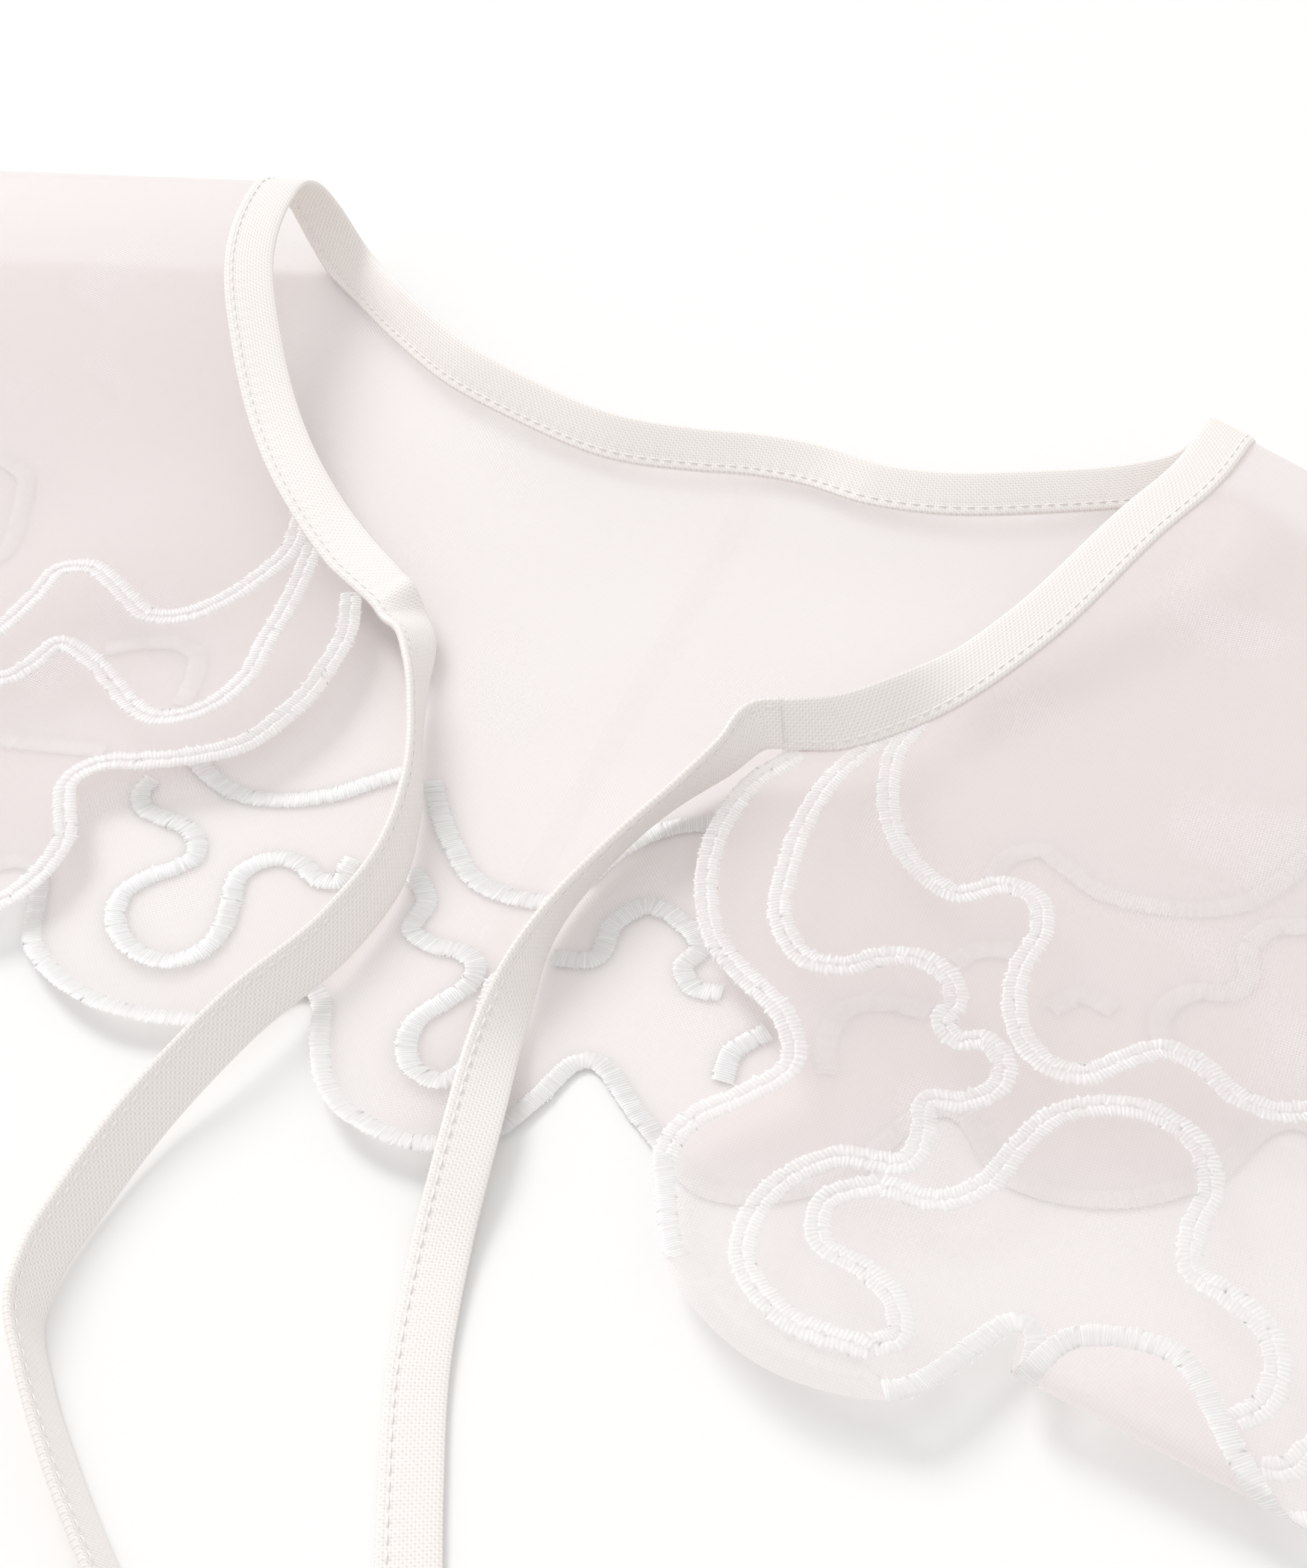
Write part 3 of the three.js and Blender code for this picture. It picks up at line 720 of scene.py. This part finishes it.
# Rings of a satin-stitched band along a line of the flat cut: a high ring on each thread, a lower one
# between. Face 1 is the embroidered face of the cloth, -1 its wrong side, where the stitches show too.
# Each ring's points also hold their part of the width, the cover, the brightness and the line's way.
# Where the tuck is 1 the hem is folded under, with the band on the far side of the cloth
def bandRings(half, line, kind, offset=0.0, lean=1, face=1, tuckAt=None):
    length = lineLength(line)
    stitches = max(3, round(length[-1] / kind["pitch"]))
    count = 2 * stitches + 1
    at = np.arange(count) + rng.uniform(-stitchChange["place"], stitchChange["place"], count)
    run = np.clip(at / (2 * stitches), 0, 1) * length[-1]
    centre, ahead, beside = bandAxes(line, length, run)
    isThread = np.arange(count) % 2 == 1
    tuck = np.zeros(count) if tuckAt is None else tuckAt(length[-1] - run)
    ends = 1 + kind["uneven"] * rng.standard_normal((count, 2))
    ends = np.where(isThread[:, None], ends, betweenThreads["width"])
    high = 1 + stitchChange["height"] * rng.standard_normal(count)
    high = face * kind["height"] * np.where(isThread, high, kind["low"])
    slant = lean * kind["slant"] + kind["splay"] * rng.standard_normal(count) * isThread
    part = bandProfile[None, :, 0]
    wide = kind["row"] / 2 * np.where(part < 0, ends[:, :1], ends[:, 1:]) * part
    across = offset * (1 + hemTuck["inward"] * tuck[:, None]) + wide
    sideways = beside[:, None] * across[..., None]
    onward = ahead[:, None] * (slant[:, None] * wide)[..., None]
    place, normal = layWithNormal(half, centre[:, None] + sideways + onward)
    sink = hemTuck["sink"] + hemTuck["between"] * face
    lift = high[:, None] * bandProfile[None, :, 1] - sink * tuck[:, None]
    rings = place - normal * lift[..., None]
    lineWay = np.zeros_like(rings)
    lineWay[1:-1] = place[2:] - place[:-2]
    lineWay[0] = lineWay[1]
    lineWay[-1] = lineWay[-2]
    cover, bright = stitchLook(run, isThread, kind)
    stitch = np.zeros(rings.shape)
    stitch[..., 0] = part
    stitch[..., 1] = cover[:, None]
    stitch[..., 2] = bright[:, None]
    return rings, stitch, lineWay


# Joins the bands into one piece
def addBands(name, bands):
    across = len(bandProfile)
    faces = []
    first = 0
    for rings, stitch, lineWay in bands:
        faces += gridFaces(len(rings), across, first)
        first += len(rings) * across
    vertices, stitch, lineWay = (np.concatenate([band[k].reshape(-1, 3) for band in bands]) for k in range(3))
    piece = addObject(name, vertices, faces, threadFinish)
    addAttribute(piece, "stitch", stitch)
    addAttribute(piece, "lineWay", lineWay)
    return piece


# Embroidery lines, as seen from above; those of the top layer are taken back to the flat cut.
# Past the photo's edges, from about 150 mm to either side, they go on in the same way
frontLines = {
    "right": [
        [(57, -65), (52, -84), (53, -105), (58, -121), (66, -127), (72.5, -125.5), (77, -121), (83, -118),
         (89, -119), (92.7, -124), (92.3, -130), (96, -132.5), (100, -130.8), (104.5, -133.5), (105.8, -139),
         (101, -145), (95.8, -147), (97, -154), (97, -160), (85, -165), (79, -173), (77, -183), (79, -191),
         (90, -199), (104, -199)],
        [(94, -167), (87, -174), (89, -182), (99, -185), (105, -189), (107, -195), (104, -198)],
        [(62.5, -58), (61, -68), (63, -78), (68, -89), (76, -97), (84, -99.8), (93, -94), (98.5, -95.5),
         (101.6, -102), (101, -113), (102.5, -121), (107, -128.5), (112.5, -132), (118.7, -131.8),
         (124, -126.5), (130, -121.3), (136, -121.5), (144, -125.6), (151, -125.8), (158, -122)],
        [(94, -167), (104, -166), (110.5, -159), (113, -150), (116.5, -142), (123, -137.3), (132, -135.3),
         (140, -138), (145, -146), (144.5, -155), (146.6, -162.9), (153, -165), (160.7, -169.3),
         (163.6, -176), (162.7, -182.5), (159.5, -186.6)],
        [(165.2, -192.5), (168.5, -191.5), (172, -186), (179, -183), (187, -180), (192, -173), (191, -165),
         (195, -159), (202, -157)],
        [(158, -122), (166, -126), (170, -134), (167, -143), (170, -151), (178, -153), (185, -147),
         (187, -137), (184, -126), (186, -116), (194, -111), (203, -114), (208, -122), (215, -124),
         (222, -118), (222, -108), (216, -99), (215, -89), (221, -82), (230, -79), (234, -71), (230, -62),
         (231, -53), (238, -47), (245, -42)],
    ],
    "left": [
        [(-75, -60), (-71, -78.5), (-69, -91), (-66.5, -104), (-68, -111.5), (-71.5, -117), (-78, -120),
         (-85, -118), (-91.7, -114), (-99.8, -110), (-107.6, -109.3), (-109.2, -116), (-112, -122),
         (-119, -125.5), (-123, -130), (-120, -136), (-114, -140), (-113, -144), (-114, -148),
         (-114, -154), (-102, -159), (-96, -167), (-94, -177), (-96, -185), (-107, -193), (-121, -193)],
        [(-111, -161), (-104, -168), (-106, -176), (-116, -179), (-122, -183), (-124, -189), (-121, -192)],
        [(-82, -53), (-79, -64), (-80.7, -74), (-84, -83.5), (-88.5, -90.5), (-95.7, -94), (-101.4, -92),
         (-106.5, -89.5), (-114.5, -87), (-119.5, -89.5), (-120, -99.5), (-121.5, -111), (-128, -121.5),
         (-137, -123), (-146, -113), (-153, -112), (-162, -117), (-173, -116)],
        [(-111, -161), (-121, -160), (-129, -154), (-132, -144), (-132, -136), (-140, -130), (-152, -126),
         (-160, -131), (-164, -141), (-161, -149), (-164, -159), (-173, -161), (-180, -167), (-181, -174),
         (-177, -180)],
        [(-173, -116), (-181, -112), (-186, -103), (-183, -93), (-186, -84), (-195, -80), (-204, -85),
         (-208, -95), (-215, -99), (-223, -94), (-225, -84), (-220, -75), (-221, -65), (-229, -60),
         (-238, -62), (-245, -56), (-247, -46), (-243, -37), (-247, -28), (-256, -25)],
        [(-186, -158), (-194, -152), (-203, -153), (-208, -146), (-205, -137), (-210, -129), (-220, -128),
         (-226, -120), (-222, -111), (-228, -104), (-238, -104), (-246, -110), (-252, -105), (-253, -96),
         (-260, -90), (-268, -92)],
    ],
}
backLines = [
    [(-70, -120.5), (-63, -124.6), (-54.5, -126.6), (-45.4, -124.2), (-37.5, -118.7), (-31.8, -112),
     (-28, -108)],
    [(-22, -108), (-12, -120), (0, -129), (9, -129), (13, -128)],
    [(-73, -130), (-73, -134), (-70, -137.6), (-65, -138.3), (-60, -138.7), (-56.2, -141), (-54.2, -145),
     (-56, -148.7), (-59.5, -153), (-61.4, -158), (-60, -163.5), (-55.5, -168.4), (-49, -171), (-43.5, -170),
     (-40, -165), (-39.6, -159), (-41.5, -152.5), (-43.7, -146), (-42.5, -141.8), (-38.5, -138.4),
     (-34, -138.3), (-29, -140.4), (-26.2, -139.5), (-26, -133)],
    [(-14, -131), (-8, -137), (-7, -144.5), (-1, -146.2), (4, -145.6), (7.5, -147), (8.8, -151),
     (6.5, -157.5), (4.2, -163), (5, -169), (9.5, -174.3), (14.5, -174.8), (17.6, -169), (16.8, -161),
     (14, -154.5), (13.2, -149.5), (15, -145.5)],
    [(20, -140), (27, -137), (27, -127), (31, -121), (38, -122), (44, -127), (43, -132), (47, -136),
     (52, -135)],
    [(17, -120), (21, -108), (26, -101), (35, -95)],
    [(60, -154), (59, -147), (63, -140)],
    [(87.5, -88.4), (89.8, -80.3), (94, -77), (101, -79.8), (108, -82.7), (117, -82.3), (125, -80),
     (133, -75), (137.5, -68.5), (141.6, -58)],
    [(146, -75.4), (140, -78.5), (137.3, -85.8), (138.8, -93), (137, -97), (131, -99.5), (127.5, -104),
     (127, -110.5), (129, -114)],
    [(76.3, -144.8), (73.3, -137), (74, -129.5), (80, -125), (88, -124)],
    [(108, -114.4), (111.5, -109), (118.7, -109.6)],
    [(88.4, -111), (91, -106.4), (97.4, -103.6)],
    [(141.6, -58), (147, -52), (155, -54), (160, -61), (168, -64), (176, -59), (177, -50), (172, -42),
     (174, -33), (183, -29), (192, -33), (198, -28), (199, -19), (206, -13)],
    [(146, -75.4), (154, -79), (158, -87), (166, -92), (175, -90), (180, -82), (190, -77)],
    [(-147, -67), (-141, -84), (-146, -94), (-155, -98), (-164, -94), (-168, -85), (-177, -81), (-186, -86),
     (-189, -95), (-197, -100), (-206, -97), (-210, -88), (-219, -84), (-228, -88), (-236, -84), (-238, -75),
     (-246, -70)],
    [(-147, -67), (-153, -58), (-162, -56), (-170, -62), (-179, -64), (-187, -58), (-188, -49), (-196, -43),
     (-205, -45), (-213, -40), (-214, -31), (-222, -26)],
    [(-103, -101), (-97, -96.4), (-90, -93.4), (-85, -94.5), (-81.3, -100.7), (-79.4, -109.5)],
    [(-107, -133), (-86, -127)],
]

# Satin stitches, in millimetres: width of a row, pitch, height and slant of its threads, which splay and end
# unevenly; low and between are shares of a thread's height and cover, cover is the share of light stopped.
# Points is how many the line has before it is stitched
frontStitch = {
    "row": 2.4, "apart": 1.12, "pitch": 0.8, "height": 0.18, "low": 0.76, "slant": 0.16, "splay": 0.2,
    "uneven": 0.2, "between": 0.55, "cover": 0.7, "edgeInside": 2.3, "edgeEarlier": 2.0, "points": 4000,
}
backStitch = {
    "row": 4.2, "pitch": 0.52, "height": 0.22, "low": 0.9, "slant": 0.12, "splay": 0.07,
    "uneven": 0.1, "between": 0.85, "cover": 0.85, "points": 1500,
}
hemStitch = {
    "row": 3.8, "inside": 1.8, "pitch": 0.52, "height": 0.2, "low": 0.9, "slant": 0.1, "splay": 0.07,
    "uneven": 0.08, "between": 0.8, "cover": 0.8, "points": 9000,
}

# The hem by the right front corner is folded under for a stretch: share folded at distances from the corner,
# how many times its offset further in the band lies, how far under the cloth, and half its thickness there
hemTuck = {"at": (20, 32, 64, 68), "share": (0, 1, 1, 0), "inward": 2.1, "sink": 1.0, "between": 0.3}


# Two rows of satin stitches side by side
def doubleRow(half, line, offset=0.0):
    apart = frontStitch["apart"]
    return [bandRings(half, line, frontStitch, offset + side * apart, side) for side in (-1, 1)]


# The same line, begun a little before its first point
def startedEarlier(line, distance, onward=20):
    ahead = line[onward] - line[0]
    return np.vstack([line[0] - ahead / np.linalg.norm(ahead) * distance, line])


# Lines of a front, and the double row along its front edge
def addFrontLines(half):
    rings = []
    for points in frontLines[half]:
        line = densePoints(curveThrough(unfolded(half, points))[0], frontStitch["points"])
        rings += doubleRow(half, line)
    edge = startedEarlier(densePoints(fronts[half], frontStitch["points"]), frontStitch["edgeEarlier"])
    inner = -shoulders[half]["side"]
    rings += doubleRow(half, edge, inner * frontStitch["edgeInside"])
    return addBands("front_embroidery_" + half, rings)


# Lines of the back, whose embroidered face is down, so both faces are stitched
def addBackLines():
    rings = []
    for points in backLines:
        line = densePoints(curveThrough(points)[0], backStitch["points"])
        half = "left" if points[0][0] < 0 else "right"
        rings += [bandRings(half, line, backStitch, face=face) for face in (1, -1)]
    return addBands("back_embroidery", rings)


def rightTuck(distance):
    return np.interp(distance, hemTuck["at"], hemTuck["share"])


def addHem(half):
    line = densePoints(hems[half], hemStitch["points"])
    inner = shoulders[half]["side"]
    tuckAt = rightTuck if half == "right" else None
    offset = inner * hemStitch["inside"]
    rings = [bandRings(half, line, hemStitch, offset, face=face, tuckAt=tuckAt) for face in (1, -1)]
    return addBands("hem_" + half, rings)


# Neck strip and ties

# How far the binding leans up from the cloth, from the centre back (0) to the front end (1)
bindingLean = {
    "left": [(0, 33), (0.15, 42), (0.35, 45), (0.46, 5), (0.56, 0), (0.7, 0), (0.9, 4), (1, 12)],
    "right": [(0, 33), (0.2, 32), (0.38, 24), (0.46, 0), (0.6, 0), (0.8, 6), (0.92, 38), (1, 50)],
}

# Centre line of each tie: x, y, height that its lower edge rests on, lean of the strip
tieRows = {
    "left": [
        (-47.5, -71.5, 4.6, 10), (-43, -75.5, 3.6, 30), (-36.4, -86.6, 2.0, 66), (-30, -99, 1.4, 80),
        (-20.6, -118.5, 1.4, 74), (-15.8, -137.1, 1.4, 60), (-16.5, -155, 2.0, 50), (-22.3, -180.7, 3.6, 46),
        (-27, -205, 1.0, 46), (-27.5, -223.9, 0, 50), (-26.5, -236, 0, 58), (-23.6, -245.2, 0, 64),
        (-15.6, -254.5, 0, 66), (-3.7, -265.4, 0, 64), (18, -282.5, 0, 62),
    ],
    "right": [
        (31, -85.5, 3.0, 80), (27, -96, 2.4, 98), (21, -116, 1.6, 100), (18, -137, 1.4, 84),
        (20, -160, 1.8, 38), (25.8, -184, 3.6, 8), (31.5, -207, 0.8, 0), (38.5, -228, 0, 0),
        (47.3, -247, 0, 0), (58, -268, 0, 0),
    ],
}

# The folded strip, in millimetres. Its lower edge reaches over the cloth by the foot, up to the share
# footUntil of the way to the front. Groove, pucker and roll are the marks that the topstitching leaves
tape = {
    "wall": 1.6, "bindingWide": 10.6, "bindingMiddle": 5.5, "tieWide": 10.2, "tieLeadIn": 4.0,
    "foot": 0.9, "footUntil": 0.96, "step": 0.6, "rows": 15, "samples": 2000,
    "halfThick": 0.72, "edgeThick": 0.3, "edgeRound": 5,
    "groove": 0.1, "grooveWide": 0.55, "grooveMean": 0.75, "grooveSwing": 0.25,
    "pucker": 0.06, "puckerWide": 2.0, "roll": 0.22, "rollOut": 1.0, "rollWide": 0.6,
}

# Lockstitches, in millimetres, sunk into the groove a little way inside the strip's edge
lockstitch = {
    "pitch": 2.9, "long": 2.2, "inside": 1.8, "thick": 0.16, "flat": 1.3, "sunk": 0.75,
    "first": 1.0, "around": 6, "ahead": 0.5,
}

# One lockstitch: share of its length, of its thickness, and how far it rises
stitchShape = ((0.0, 0.35, -0.2), (0.12, 0.85, 0.1), (0.5, 1.0, 0.22), (0.88, 0.85, 0.1), (1.0, 0.35, -0.2))


# A place of the binding at a width w beyond the neck edge
def bindingPlace(half, u, w):
    before = neckPoint(half, np.maximum(u - tangentStep, 0))
    after = neckPoint(half, np.minimum(u + tangentStep, 1))
    ahead = (after - before) / np.linalg.norm(after - before, axis=-1, keepdims=True)
    away = np.stack([-ahead[..., 1], ahead[..., 0]], -1) * shoulders[half]["side"]
    edge = neckPoint(half, u)
    lean = np.radians(easedValue(bindingLean[half], u))
    level = layAt(half, edge + away * w[..., None])
    foot = layAt(half, edge)
    share = np.where(w > 0, np.cos(lean), 1)[..., None]
    place = foot * (1 - share) + level * share
    place[..., 2] += np.maximum(w, 0) * np.sin(lean)
    return place


# Centre line of a tie, straight on from the front end of the binding, with the lean of the strip
def tieCurve(half):
    lean = math.radians(bindingLean[half][-1][1])
    inner = pieceGap + (tape["wall"] + clothWall) / 2 * math.tan(lean / 2)
    halfway = np.array([(inner + tape["bindingWide"]) / 2])
    end = bindingPlace(half, np.array([1.0]), halfway)[0]
    near = bindingPlace(half, np.array([1 - tangentStep]), halfway)[0]
    ahead = (end - near) * [1, 1, 0]
    ahead /= np.linalg.norm(ahead)
    endLean = shoulders[half]["side"] * bindingLean[half][-1][1]
    rows = [(*(end + ahead * distance), endLean) for distance in (pieceGap, tape["tieLeadIn"])]
    for x, y, rest, leanDegrees in tieRows[half]:
        a = math.radians(leanDegrees)
        z = rest + tape["tieWide"] / 2 * abs(math.sin(a)) + tape["wall"] / 2 * abs(math.cos(a))
        rows.append((x, y, z, leanDegrees))
    return curveThrough(rows)[0]


# A place of a tie at a width w beside its centre line
def tiePlace(curve, t, w):
    before = curve(np.maximum(t - tangentStep, 0))
    after = curve(np.minimum(t + tangentStep, 1))
    ahead = (after - before)[..., :2]
    ahead = ahead / np.linalg.norm(ahead, axis=-1, keepdims=True)
    row = curve(t)
    lean = np.radians(row[..., 3])
    return np.stack([
        row[..., 0] + ahead[..., 1] * w * np.cos(lean),
        row[..., 1] - ahead[..., 0] * w * np.cos(lean),
        row[..., 2] + w * np.sin(lean),
    ], -1)


# Middle surface of the whole strip, from the end of the left tie round the neck to the right one's
def tapeSurface():
    f = np.sin(np.linspace(-1, 1, tape["rows"]) * math.pi / 2)
    parts = []
    stitchAt = []
    for half, isTie in (("left", True), ("left", False), ("right", False), ("right", True)):
        even = np.linspace(0, 1, tape["samples"])
        if isTie:
            curve = tieCurve(half)
            length = lineLength(tiePlace(curve, even, np.zeros(len(even))))
        else:
            length = lineLength(bindingPlace(half, even, np.full(len(even), tape["bindingMiddle"])))
        count = round(length[-1] / tape["step"])
        t = np.interp(np.linspace(0, length[-1], count + 1), length, even)
        if half == "left":
            t = t[::-1]
        grid, across = np.broadcast_arrays(t[:, None], f[None, :])
        if isTie:
            part = tiePlace(curve, grid, across * tape["tieWide"] / 2 * shoulders[half]["side"])
            stitchSide = 1 if half == "right" else -1
        else:
            lower = np.interp(t, [tape["footUntil"], 1], [-tape["foot"], pieceGap])[:, None]
            part = bindingPlace(half, grid, lower + (across + 1) / 2 * (tape["bindingWide"] - lower))
            stitchSide = -1
        parts.append(part)
        stitchAt.append(np.full(len(t), stitchSide))
    keep = [slice(None), slice(None), slice(1, None), slice(None)]  # both halves have the centre back
    places = np.concatenate([part[rows] for part, rows in zip(parts, keep)])
    sides = np.concatenate([part[rows] for part, rows in zip(stitchAt, keep)])
    return places, f, sides


# The strip and its topstitching
def addTape():
    places, f, sides = tapeSurface()
    along = np.gradient(places, axis=0)
    across = np.gradient(places, axis=1)
    normal = np.cross(along, across)
    normal /= np.linalg.norm(normal, axis=-1, keepdims=True)
    run = lineLength(places[:, len(f) // 2])
    halfWide = tape["tieWide"] / 2
    w = f[None, :] * halfWide
    fromLine = w - sides[:, None] * (halfWide - lockstitch["inside"])
    beat = np.cos(2 * np.pi * run[:, None] / lockstitch["pitch"])
    outward = fromLine * sides[:, None]
    body = np.sqrt(1 - np.abs(f) ** tape["edgeRound"])[None, :]
    groove = np.exp(-((fromLine / tape["grooveWide"]) ** 2))
    pucker = np.exp(-((fromLine / tape["puckerWide"]) ** 2))
    roll = np.exp(-(((outward - tape["rollOut"]) / tape["rollWide"]) ** 2))
    thick = tape["edgeThick"] + (tape["halfThick"] - tape["edgeThick"]) * body
    thick = thick - tape["groove"] * groove * (tape["grooveMean"] - tape["grooveSwing"] * beat)
    thick = thick - tape["pucker"] * pucker * beat
    thick = thick + tape["roll"] * roll
    upper = places + normal * thick[..., None]
    lower = places - normal * thick[..., None]
    rings = np.concatenate([upper, lower[:, ::-1]], 1)
    piece = addObject("neck_strip", rings, bandFaces(len(rings), rings.shape[1]), tapeCloth)
    s = np.broadcast_to(run[:, None], thick.shape)
    upperPlace = np.stack([s, np.broadcast_to(w, s.shape), np.zeros(s.shape)], -1)
    addAttribute(piece, "tapePlace", np.concatenate([upperPlace, upperPlace[:, ::-1]], 1))
    stitches = addTopstitch(places, normal, run, f, sides)
    return piece, stitches


# Rings of one lockstitch that starts at a distance along the strip, on its face 1 or -1
def stitchRings(line, normals, run, start, face):
    angles = np.linspace(0, 2 * math.pi, lockstitch["around"], endpoint=False)
    rings = []
    for share, fat, rise in stitchShape:
        s = start + share * lockstitch["long"]
        centre = placesAlong(line, run, s)
        up = face * placesAlong(normals, run, s)
        ahead = placesAlong(line, run, s + lockstitch["ahead"]) - centre
        ahead = ahead / np.linalg.norm(ahead)
        beside = np.cross(ahead, up)
        centre = centre + up * (tape["halfThick"] - tape["groove"] * lockstitch["sunk"] + rise)
        high = fat * lockstitch["thick"]
        wide = high * lockstitch["flat"]
        rings.append([centre + beside * (math.cos(a) * wide) + up * (math.sin(a) * high) for a in angles])
    return np.array(rings)


# Lockstitches in the groove, on both faces
def addTopstitch(places, normal, run, f, sides):
    halfWide = tape["tieWide"] / 2
    line = []
    normals = []
    for i, side in enumerate(sides):
        share = side * (halfWide - lockstitch["inside"]) / halfWide
        line.append(placesAlong(places[i], f, share))
        normals.append(placesAlong(normal[i], f, share))
    line = np.array(line)
    normals = np.array(normals)
    vertices = []
    faces = []
    first = 0
    for start in np.arange(lockstitch["first"], run[-1] - lockstitch["pitch"], lockstitch["pitch"]):
        for face in (1, -1):
            rings = stitchRings(line, normals, run, start, face)
            vertices.append(rings.reshape(-1, 3))
            faces += bandFaces(len(rings), rings.shape[1], first)
            first += len(vertices[-1])
    return addObject("topstitch", np.concatenate(vertices), faces, sewnThread)


# Seam of the back: the two allowances pressed to one side, seen as a narrow double strip

seam = {
    "width": 5.4, "aside": 1.2, "lift": 0.12, "steps": 300, "across": 5,
    "from": 0.01, "to": 0.985,  # shares of the way from neck to hem
}


def addSeam():
    t = np.linspace(seam["from"], seam["to"], seam["steps"])[:, None]
    line = np.array(neckCentre) * (1 - t) + np.array(hemCentre) * t
    across = np.linspace(-0.5, 0.5, seam["across"]) * seam["width"] + seam["aside"]
    cut = line[:, None] + np.stack([across, np.zeros_like(across)], -1)
    place, normal = layWithNormal("right", cut)
    faces = gridFaces(seam["steps"], seam["across"])
    piece = addObject("back_seam", place + normal * seam["lift"], faces, seamCloth)
    addCutPlace(piece, cut)
    return piece


clothLeft, flatLeft, areaLeft = addCloth("left")
clothRight, flatRight, areaRight = addCloth("right")
print("cloth laid", flatLeft, areaLeft, flatRight, areaRight)

frontLeft = addFrontLines("left")
frontRight = addFrontLines("right")
backPattern = addBackLines()
hemLeft = addHem("left")
hemRight = addHem("right")
backSeam = addSeam()
print("embroidery stitched")

strip, topstitch = addTape()
print("neck strip and ties laid")


# Floor and light

def addFloor():
    reach = table["reach"]
    corners = [(x * reach, y * reach, table["height"]) for x, y in ((-1, -1), (1, -1), (1, 1), (-1, 1))]
    mesh = bpy.data.meshes.new("floor")
    mesh.from_pydata(corners, [], [(0, 1, 2, 3)])
    mesh.materials.append(paintedTable)
    piece = bpy.data.objects.new("floor", mesh)
    bpy.context.collection.objects.link(piece)
    return piece


floor = addFloor()

light = {"sun": 1.3, "sunSoftness": 24, "from": (-0.676, 0.410, 0.61), "sky": 0.83}


# Soft daylight from the left and behind the neck, and even light from all round
def addLight():
    data = bpy.data.lights.new("window", "SUN")
    data.energy = light["sun"]
    data.angle = math.radians(light["sunSoftness"])
    lamp = bpy.data.objects.new("window", data)
    lamp.rotation_euler = Vector(light["from"]).to_track_quat("Z", "Y").to_euler()
    bpy.context.collection.objects.link(lamp)
    world = bpy.data.worlds.new("studio")
    world.use_nodes = True
    sky = world.node_tree.nodes["Background"]
    sky.inputs["Color"].default_value = (1.0, 1.0, 1.0, 1.0)
    sky.inputs["Strength"].default_value = light["sky"]
    bpy.context.scene.world = world
    bpy.context.scene.view_settings.view_transform = "Standard"


addLight()
print("floor and light set")

for piece, slot in (
    (clothLeft, "organza"), (clothRight, "organza"), (backSeam, "organza"),
    (frontLeft, "embroidery"), (frontRight, "embroidery"), (backPattern, "embroidery"),
    (hemLeft, "embroidery"), (hemRight, "embroidery"), (topstitch, "embroidery"), (strip, "bias_satin"),
):
    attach(piece, "root")

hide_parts("collar_left")
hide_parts("collar_right")
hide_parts("neck_binding", "tie_left", "tie_right")
